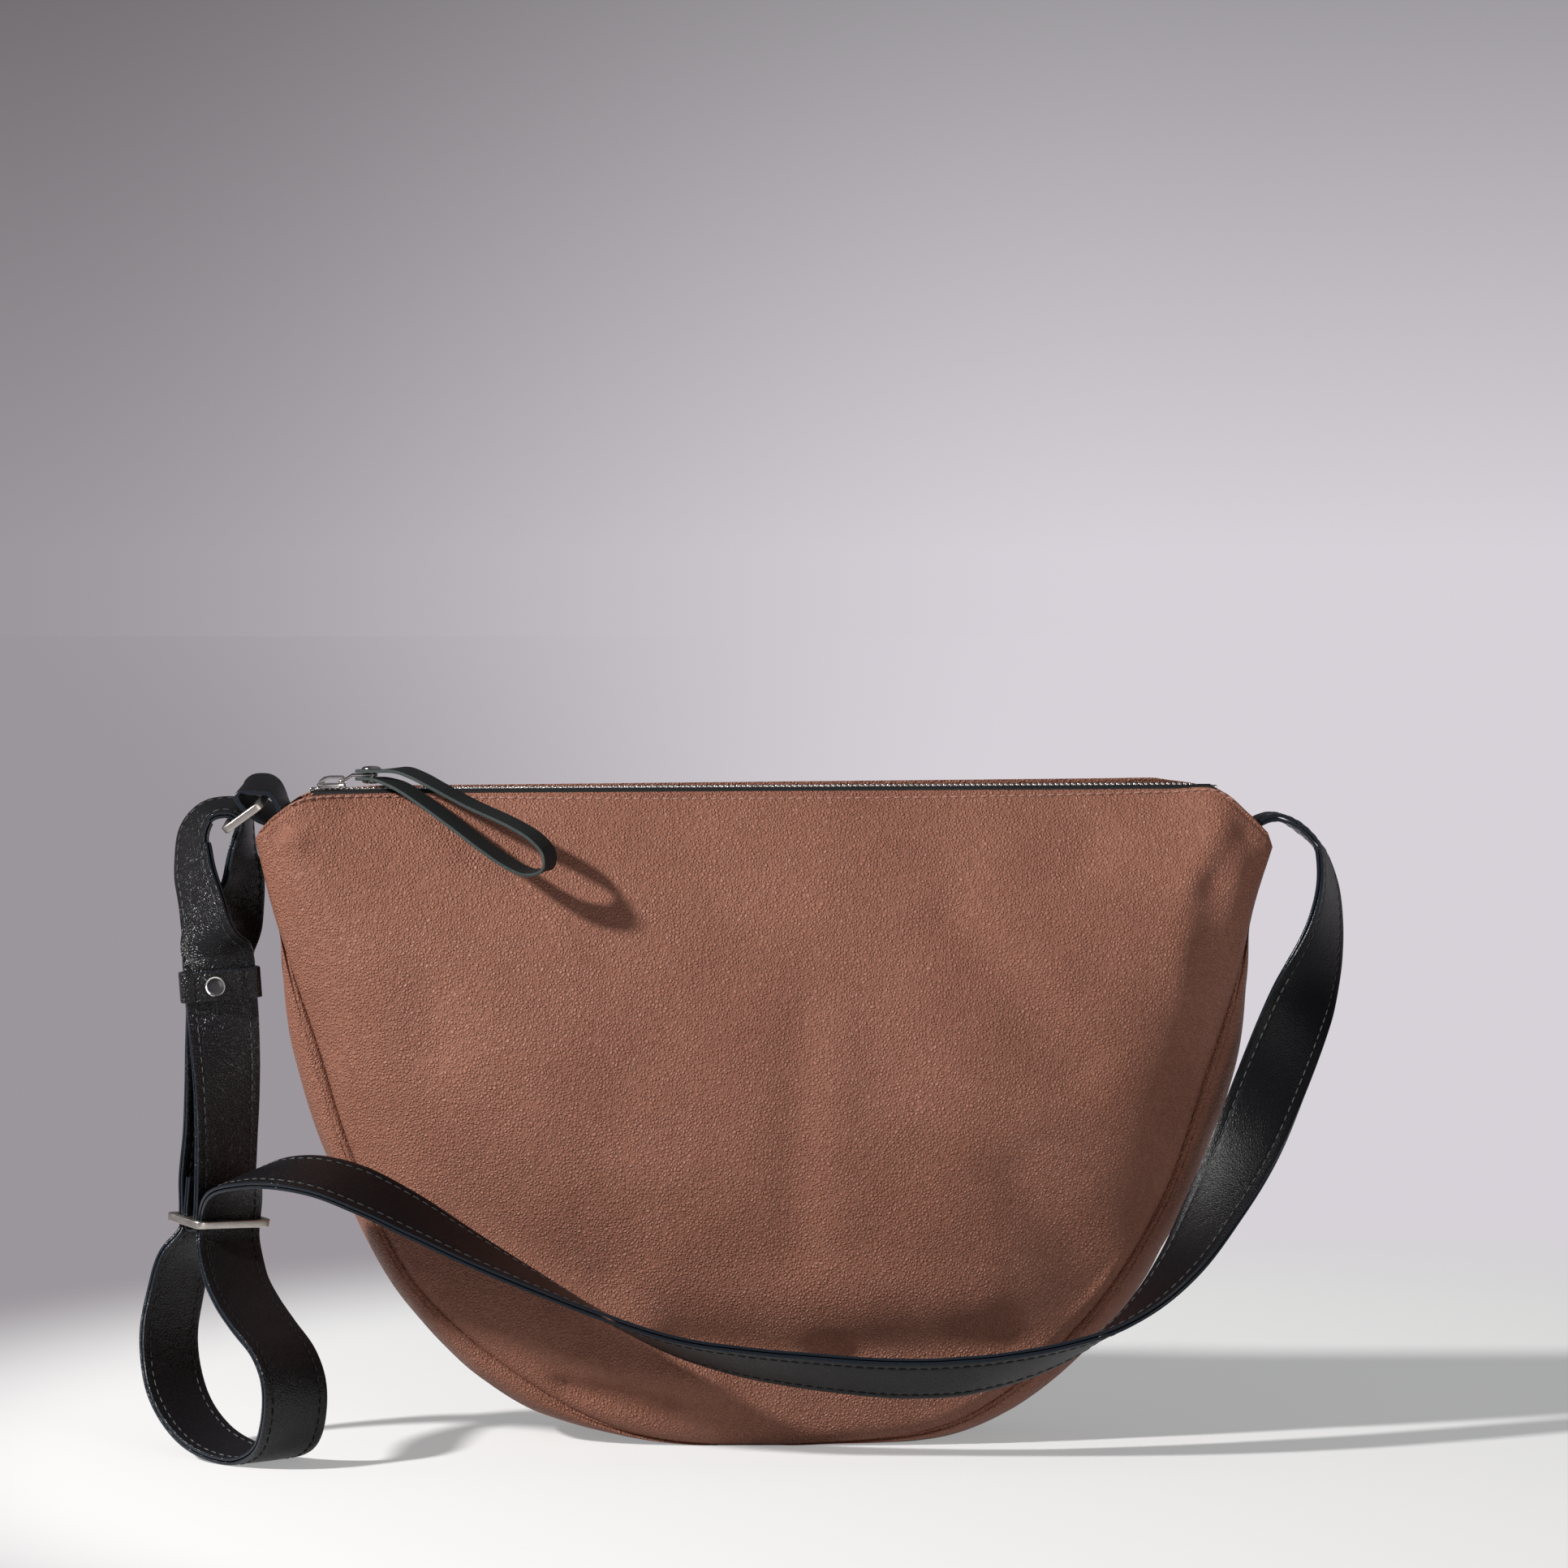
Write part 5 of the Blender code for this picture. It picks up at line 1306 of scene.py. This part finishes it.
KEEPER_FRAME = frame_of(KEEPER_PLACE_SHARES, KEEPER_ACROSS, KEEPER_UP)
half_wide = STRAP_WIDTH / 2 + KEEPER_ROOM + KEEPER_THICK / 2
half_deep = PLY_OFFSET + STRAP_THICK / 2 + KEEPER_ROOM + KEEPER_THICK / 2
lap_x = SNAP_PLACE_SHARE * STRAP_WIDTH
over = KEEPER_THICK + 0.0001
end = lap_x + KEEPER_LAP / 2
path = [(end, -half_deep), (end - LAP_START, -half_deep)]
for side_x, side_y, start in ((-1, -1, 1.5), (-1, 1, 1.0), (1, 1, 0.5), (1, -1, 0.0)):
    middle = (side_x * (half_wide - KEEPER_CORNER), side_y * (half_deep - KEEPER_CORNER))
    for step in range(BAND_STEPS + 1):
        turn = math.pi * (start - 0.5 * step / BAND_STEPS)
        path.append((middle[0] + KEEPER_CORNER * math.cos(turn), middle[1] + KEEPER_CORNER * math.sin(turn)))
for step in range(LAP_STEPS + 1):
    rise = 0.5 - 0.5 * math.cos(math.pi * step / LAP_STEPS)
    path.append((end + KEEPER_RAMP - (KEEPER_RAMP - over) * step / LAP_STEPS, -half_deep - over * rise))
path += [(end - KEEPER_LAP * part, -half_deep - over) for part in LAP_PARTS]
path.append((end - KEEPER_LAP, -half_deep - over + LAP_TURN))
point = framed_point(KEEPER_FRAME)
places = np.array([point(x, y, 0) for x, y in path])
profile, marks = flat_profile(KEEPER_HEIGHT / 2, -KEEPER_THICK / 2, KEEPER_THICK / 2, KEEPER_EDGE)
upward = np.tile(KEEPER_FRAME[3], (len(places), 1))
band = swept("keeper strip", places, upward, profile, black_leather, edges=marks)
dressed(band, "keeper", ["keeper_band"])

seat = half_deep + over + KEEPER_THICK / 2 + 0.0001
front = point(lap_x, -seat, 0)
face = SNAP_RADIUS - SNAP_RIM
crown = SNAP_HEIGHT - 0.0001
profile = [(0, 0), (SNAP_RADIUS - 0.0002, 0), (SNAP_RADIUS, 0.0002), (SNAP_RADIUS, SNAP_HEIGHT - 0.0004),
           (SNAP_RADIUS - 0.0001, crown), (SNAP_RADIUS - 0.0003, SNAP_HEIGHT), (face + 0.0001, crown),
           (face, SNAP_HEIGHT - 0.0004), (face, SNAP_HEIGHT / 2), (0, SNAP_HEIGHT / 2)]
rim = turned("snap rim", profile, front, -KEEPER_FRAME[2], polished_nickel)
dressed(rim, "keeper", ["keeper_snap_rim"])


def lacquer(name, colour, rough):
    """Smooth lacquer with fine dust and a faint wave in its gloss."""
    made, tree, shader = new_material(name, Coat_Weight=0.4, Coat_Roughness=0.12)
    place = object_place(tree)
    dust = specks(tree, place, 2600.0, 3.0)
    tone = blended(tree, ramp(tree, dust, 0.55, 0.75), *shades(colour, 1, 2.2))
    gloss = ramp(tree, dust, 0.3, 0.7, rough, rough + 0.12)
    surface(tree, shader, tone, gloss, specks(tree, place, 300.0, 2.0), 0.00004, 0.25)
    return made


black_lacquer = lacquer("black lacquer", (0.012, 0.012, 0.014), 0.24)
face -= 0.0001
low = SNAP_HEIGHT / 2 + 0.0001
profile = [(0, low), (face, low), (face, SNAP_HEIGHT - 0.00035), (face - 0.0003, SNAP_HEIGHT - 0.0002),
           (face / 2, crown), (0, SNAP_HEIGHT - 0.00008)]
cap = turned("snap face", profile, front, -KEEPER_FRAME[2], black_lacquer)
dressed(cap, "keeper", ["keeper_snap_face"])


# Buckle
# A brushed rectangle with a centre bar. The strap's folded end is sewn round the bar, and the strap itself
# runs through the slots on both sides, which sets its length.

BUCKLE_PLACE_SHARES = (-1.065, -0.52, 0.3435)
BUCKLE_LONG = (0.765, 0.640, -0.05)
BUCKLE_STACK = (-0.64, 0.76, 0.08)
BUCKLE_BAR = 0.0026
BUCKLE_ROOM = 0.0006
BUCKLE_CORNER = 0.0003
CENTRE_BAR_SINK = 0.3
CENTRE_BAR_STATIONS = 15
FOLD_ROOM = 0.0006
TAIL_LENGTH = 0.0165
BUCKLE_FRAME = frame_of(BUCKLE_PLACE_SHARES, BUCKLE_LONG, np.cross(BUCKLE_LONG, BUCKLE_STACK))
FOLD_OFFSET = BUCKLE_BAR / 2 + FOLD_ROOM + STRAP_THICK / 2
SLOT_OFFSET = FOLD_OFFSET + STRAP_THICK + BUCKLE_ROOM
SIDE_BAR_OFFSET = SLOT_OFFSET + STRAP_THICK / 2 + BUCKLE_ROOM + BUCKLE_BAR / 2
BUCKLE_HALF_LONG = STRAP_WIDTH / 2 + BUCKLE_ROOM + BUCKLE_BAR / 2

point = framed_point(BUCKLE_FRAME)
corners = oblong(-BUCKLE_HALF_LONG, BUCKLE_HALF_LONG, -SIDE_BAR_OFFSET, SIDE_BAR_OFFSET)
corners = [point(x, y, 0) for x, y in corners]
path = straightened(rounded_loop(corners, RING_BAR / 2 + BUCKLE_CORNER), BAR_STEP)
upward = BUCKLE_FRAME[3]
outline = swept("buckle", path, np.tile(upward, (len(path), 1)), bar_profile, brushed_nickel, loop=True)
reach = BUCKLE_HALF_LONG - BUCKLE_BAR * CENTRE_BAR_SINK
bar = np.array([point(x, 0, 0) for x in np.linspace(-reach, reach, CENTRE_BAR_STATIONS)])
middle = swept("centre bar", bar, np.tile(upward, (len(bar), 1)), bar_profile, brushed_nickel)
dressed(outline, "buckle", ["buckle_frame"])
dressed(middle, "buckle", [])


# Strap
# Two leathers are glued back to back, 28 mm wide and 3 mm thick, and stitched along both edges with the edges
# painted. It runs from the buckle's centre bar through the keeper, over the ring, down through the keeper and
# the buckle, round a loop on the floor, back through the buckle and across the front into the right corner.

STRAP_STEP = 0.0016
STITCH_INSET = 0.0035
STITCH_PITCH = 0.0041
STITCH_LENGTH = 0.0031
STRAP_THREAD = 0.00055
STITCH_GROOVE = 0.00016
STITCH_GROOVE_RUN = 0.0005
STITCH_SINK = 0.00004
BARE_ENDS = slice(3, -3)
CROWN = 0.00022
LAYER_CORNER = 0.0004
BEND_STEPS = 8
KEEPER_STRAIGHT = 0.010
KEEPER_INSIDE = 0.0065
PLY_SPREAD_SHARES = (3.75, 2.8, 1.9)

# Free stretches: centre point as shares of the half width, half depth and height, then the way across
PLY_SHARES = (
    (-1.051, -0.60, 0.400, 0.73, 0.68, -0.06),
    (-1.050, -0.53, 0.474, 0.76, 0.64, -0.04),
    (-1.052, -0.42, 0.557, 0.85, 0.52, -0.04),
)
FRONT_PLY_SHARES = (
    (-1.0850, -0.33, 0.769, 0.83, -0.53, 0.12),
    (-1.0930, -0.33, 0.793, 0.71, -0.70, 0.08),
    (-1.1055, -0.24, 0.828, 0.62, -0.78, 0.02),
    (-1.1195, -0.12, 0.867, 0.55, -0.83, 0.00),
    (-1.128, 0.00, 0.902, 0.50, -0.86, 0.00),
    (-1.124, 0.02, 0.934, 0.44, -0.89, -0.02),
    (-1.106, 0.055, 0.9570, 0.34, -0.94, -0.12),
    (-1.080, 0.055, 0.9675, 0.16, -0.97, -0.16),
)
BACK_PLY_SHARES = (
    (-1.029, 0.03, 0.8850, -0.31, -0.95, 0.06),
    (-1.031, 0.07, 0.8570, -0.44, -0.89, 0.08),
    (-1.037, 0.08, 0.8280, -0.58, -0.81, 0.08),
    (-1.049, 0.02, 0.7960, -0.77, -0.64, 0.06),
    (-1.070, -0.06, 0.7670, -0.97, -0.20, 0.22),
)
LOOP_SHARES = (
    (-1.136, -0.37, 0.283, 0.63, 0.77, -0.08),
    (-1.154, -0.38, 0.230, 0.67, 0.74, -0.06),
    (-1.166, -0.46, 0.168, 0.67, 0.74, -0.05),
    (-1.156, -0.60, 0.110, 0.67, 0.74, -0.02),
    (-1.130, -0.80, 0.066, 0.67, 0.74, -0.02),
    (-1.078, -1.06, 0.027, 0.68, 0.73, 0.00),
    (-1.015, -1.29, 0.0087, 0.74, 0.67, 0.00),
    (-0.955, -1.50, 0.0087, 0.78, 0.62, 0.00),
    (-0.912, -1.70, 0.032, 0.78, 0.62, -0.02),
    (-0.893, -1.83, 0.077, 0.78, 0.61, -0.06),
    (-0.892, -1.82, 0.127, 0.79, 0.60, -0.08),
    (-0.915, -1.64, 0.168, 0.79, 0.61, -0.04),
    (-0.960, -1.38, 0.203, 0.79, 0.61, 0.00),
    (-0.998, -1.12, 0.234, 0.77, 0.64, 0.02),
    (-1.026, -0.90, 0.268, 0.75, 0.66, 0.00),
)
RUN_SHARES = (
    (-1.026, -0.92, 0.404, 0.56, 0.82, 0.10),
    (-0.976, -1.18, 0.426, 0.36, 0.92, 0.18),
    (-0.917, -1.36, 0.434, 0.27, 0.92, 0.27),
    (-0.848, -1.47, 0.430, 0.14, 0.92, 0.37),
    (-0.770, -1.50, 0.410, 0.11, 0.88, 0.46),
    (-0.671, -1.50, 0.371, 0.12, 0.91, 0.40),
    (-0.552, -1.48, 0.318, 0.09, 0.97, 0.23),
    (-0.434, -1.46, 0.269, 0.04, 1.00, 0.06),
    (-0.310, -1.44, 0.220, 0.00, 0.99, -0.14),
    (-0.168, -1.44, 0.174, -0.06, 0.94, -0.32),
    (-0.045, -1.44, 0.151, -0.06, 0.88, -0.46),
    (0.090, -1.44, 0.136, -0.03, 0.83, -0.55),
    (0.256, -1.44, 0.125, 0.00, 0.80, -0.60),
    (0.380, -1.44, 0.128, 0.06, 0.80, -0.59),
    (0.502, -1.42, 0.145, 0.10, 0.88, -0.46),
    (0.601, -1.39, 0.170, 0.08, 0.95, -0.28),
    (0.676, -1.34, 0.199, 0.00, 1.00, -0.08),
    (0.748, -1.27, 0.243, -0.20, 0.97, 0.08),
    (0.810, -1.16, 0.297, -0.44, 0.89, 0.15),
    (0.867, -1.02, 0.366, -0.66, 0.73, 0.18),
    (0.931, -0.84, 0.453, -0.85, 0.47, 0.24),
    (0.991, -0.64, 0.559, -0.93, 0.10, 0.34),
    (1.040, -0.45, 0.646, -0.90, -0.20, 0.36),
    (1.070, -0.28, 0.696, -0.82, -0.50, 0.28),
    (1.095, -0.17, 0.748, -0.66, -0.74, 0.12),
    (1.110, -0.10, 0.806, -0.46, -0.88, 0.00),
    (1.111, -0.05, 0.861, -0.28, -0.95, 0.00),
    (1.096, 0.00, 0.906, -0.12, -0.99, 0.04),
    (1.068, 0.00, 0.930, -0.04, -1.00, 0.08),
    (1.042, 0.00, 0.946, -0.04, -1.00, 0.06),
    (1.018, 0.00, 0.954, -0.04, -1.00, 0.02),
    (0.997, 0.00, 0.955, -0.02, -1.00, 0.00),
    (0.973, 0.00, 0.948, 0.00, -1.00, 0.00),
    (0.943, 0.00, 0.932, 0.00, -1.00, 0.00),
)

# The bight over the ring: centre point from the ring's middle, as shares of the strap's width, then across
BIGHT_SHARES = (
    (-0.4679, 0.1068, -0.1830, 0.00, -0.98, -0.19),
    (-0.3964, 0.1068, -0.2031, -0.05, -0.98, -0.19),
    (-0.3357, 0.1068, -0.2562, -0.04, -0.98, -0.18),
    (-0.3036, 0.1068, -0.3312, -0.04, -0.98, -0.15),
    (-0.3036, 0.1068, -0.5124, -0.08, -0.98, -0.08),
)


def placed(shares):
    """Route rows in shares turned into metres, their directions kept."""
    rows = np.array(shares, float)
    rows[:, :3] *= (HALF_WIDTH, HALF_DEPTH, BAG_HEIGHT)
    return rows


def framed(hardware, height, through, turned_round=False):
    """A route row at a place in a hardware frame."""
    centre, across, away, up = hardware
    way = -across if turned_round else across
    return [*(centre + away * through + up * height), *way]


def strap_route():
    """Rows (place, direction across) from the folded end on the buckle to the end at the right corner."""
    heights = (TAIL_LENGTH, TAIL_LENGTH / 2, BUCKLE_BAR)
    rows = [framed(BUCKLE_FRAME, height, FOLD_OFFSET, True) for height in heights]
    for step in range(BEND_STEPS + 1):
        angle = math.pi * step / BEND_STEPS
        down, through = -FOLD_OFFSET * math.sin(angle), FOLD_OFFSET * math.cos(angle)
        rows.append(framed(BUCKLE_FRAME, down, through, True))
    rows += [framed(BUCKLE_FRAME, height, -FOLD_OFFSET, True) for height in (BUCKLE_BAR, TAIL_LENGTH / 3)]
    front = placed(PLY_SHARES)
    front[:, 3:] *= -1
    rows += front.tolist()
    heights = (-KEEPER_STRAIGHT, -KEEPER_INSIDE, KEEPER_INSIDE, KEEPER_STRAIGHT)
    rows += [framed(KEEPER_FRAME, height, -PLY_OFFSET, True) for height in heights]
    bight = np.array(BIGHT_SHARES)
    bight[:, :3] = RING_FRAME[0] + bight[:, :3] * STRAP_WIDTH
    over = np.vstack([placed(FRONT_PLY_SHARES), bight, placed(BACK_PLY_SHARES)])
    over[:, 3:] *= -1
    rows += over.tolist()
    rows += [framed(KEEPER_FRAME, height, PLY_OFFSET) for height in reversed(heights)]
    back = placed(PLY_SHARES)
    for row, apart in zip(back, PLY_SPREAD_SHARES):
        row[:3] += BUCKLE_FRAME[2] * apart * STRAP_THICK
    rows += back[::-1].tolist()
    rows += [framed(BUCKLE_FRAME, height, SLOT_OFFSET) for height in (BUCKLE_BAR * 2, -BUCKLE_BAR * 2)]
    rows += placed(LOOP_SHARES).tolist()
    rows += [framed(BUCKLE_FRAME, height, -SLOT_OFFSET) for height in (-BUCKLE_BAR * 2, BUCKLE_BAR)]
    rows += placed(RUN_SHARES).tolist()
    return np.array(rows)


def layer_profile(low, high, facing):
    """One leather's cross-section: rounded edges, a groove under each stitch row and a slight crown."""
    half = STRAP_WIDTH / 2
    groove = half - STITCH_INSET
    faces = [half - 0.0010, half - 0.0020, groove + 0.0007, groove, groove - 0.0007, groove - 0.0018,
             groove * 0.55, groove * 0.2]
    outer = []
    for u in faces + [-u for u in reversed(faces)]:
        near = abs(u)
        dip = STITCH_GROOVE * math.exp(-(((near - groove) / STITCH_GROOVE_RUN) ** 2))
        outer.append((u, CROWN * max(0.0, 1 - (near / groove) ** 2) - dip))
    top, bottom = (high, low) if facing > 0 else (low, high)
    corner = LAYER_CORNER
    points = [(half - corner * 0.3, bottom + facing * corner * 0.3), (half, bottom + facing * corner),
              (half, top - facing * corner * 1.2), (half - corner * 0.4, top - facing * corner * 0.35)]
    marks = [0.6, 1.0, 1.0, 0.6]
    marks += [0.0] * len(outer) + marks
    mirrored = [(-u, v) for u, v in reversed(points)]
    return points + [(u, top + facing * lift) for u, lift in outer] + mirrored, marks


route = smooth_route(strap_route(), STRAP_STEP)
places = steady(route[:, :3], 2)
places[0], places[-1] = route[0, :3], route[-1, :3]
across = steady(route[:, 3:], 5)
grey_thread = thread("grey thread", (0.048, 0.050, 0.055), 0.40)
black_thread = thread("black thread", (0.006, 0.006, 0.007), 0.6, Specular_IOR_Level=0.15)
for name, low, facing in (("outer", LAYER_GAP / 2, 1), ("inner", -LAYER_GAP / 2 - STRAP_LAYER, -1)):
    profile, marks = layer_profile(low, low + STRAP_LAYER, facing)
    if facing < 0:
        profile, marks = profile[::-1], marks[::-1]
    strap = swept(name + " strap leather", places, across, profile, black_leather, edges=marks)
    dressed(strap, "bag", ["strap_" + name + "_leather"])
    over_way, normal = run_frames(places, across)
    face = (low + STRAP_LAYER if facing > 0 else low) - facing * STITCH_SINK
    lines = [(places + side * (STRAP_WIDTH / 2 - STITCH_INSET) * over_way + face * normal)[BARE_ENDS]
             for side in (-1, 1)]
    strap_thread = black_thread if name == "outer" else grey_thread
    stitches = grown(name + " strap stitches", lines, STITCH_ROW, strap_thread, Pitch=STITCH_PITCH,
                     Length=STITCH_LENGTH, Thread=STRAP_THREAD, Seed=11 + facing)
    dressed(stitches, "bag", [])


low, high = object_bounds()
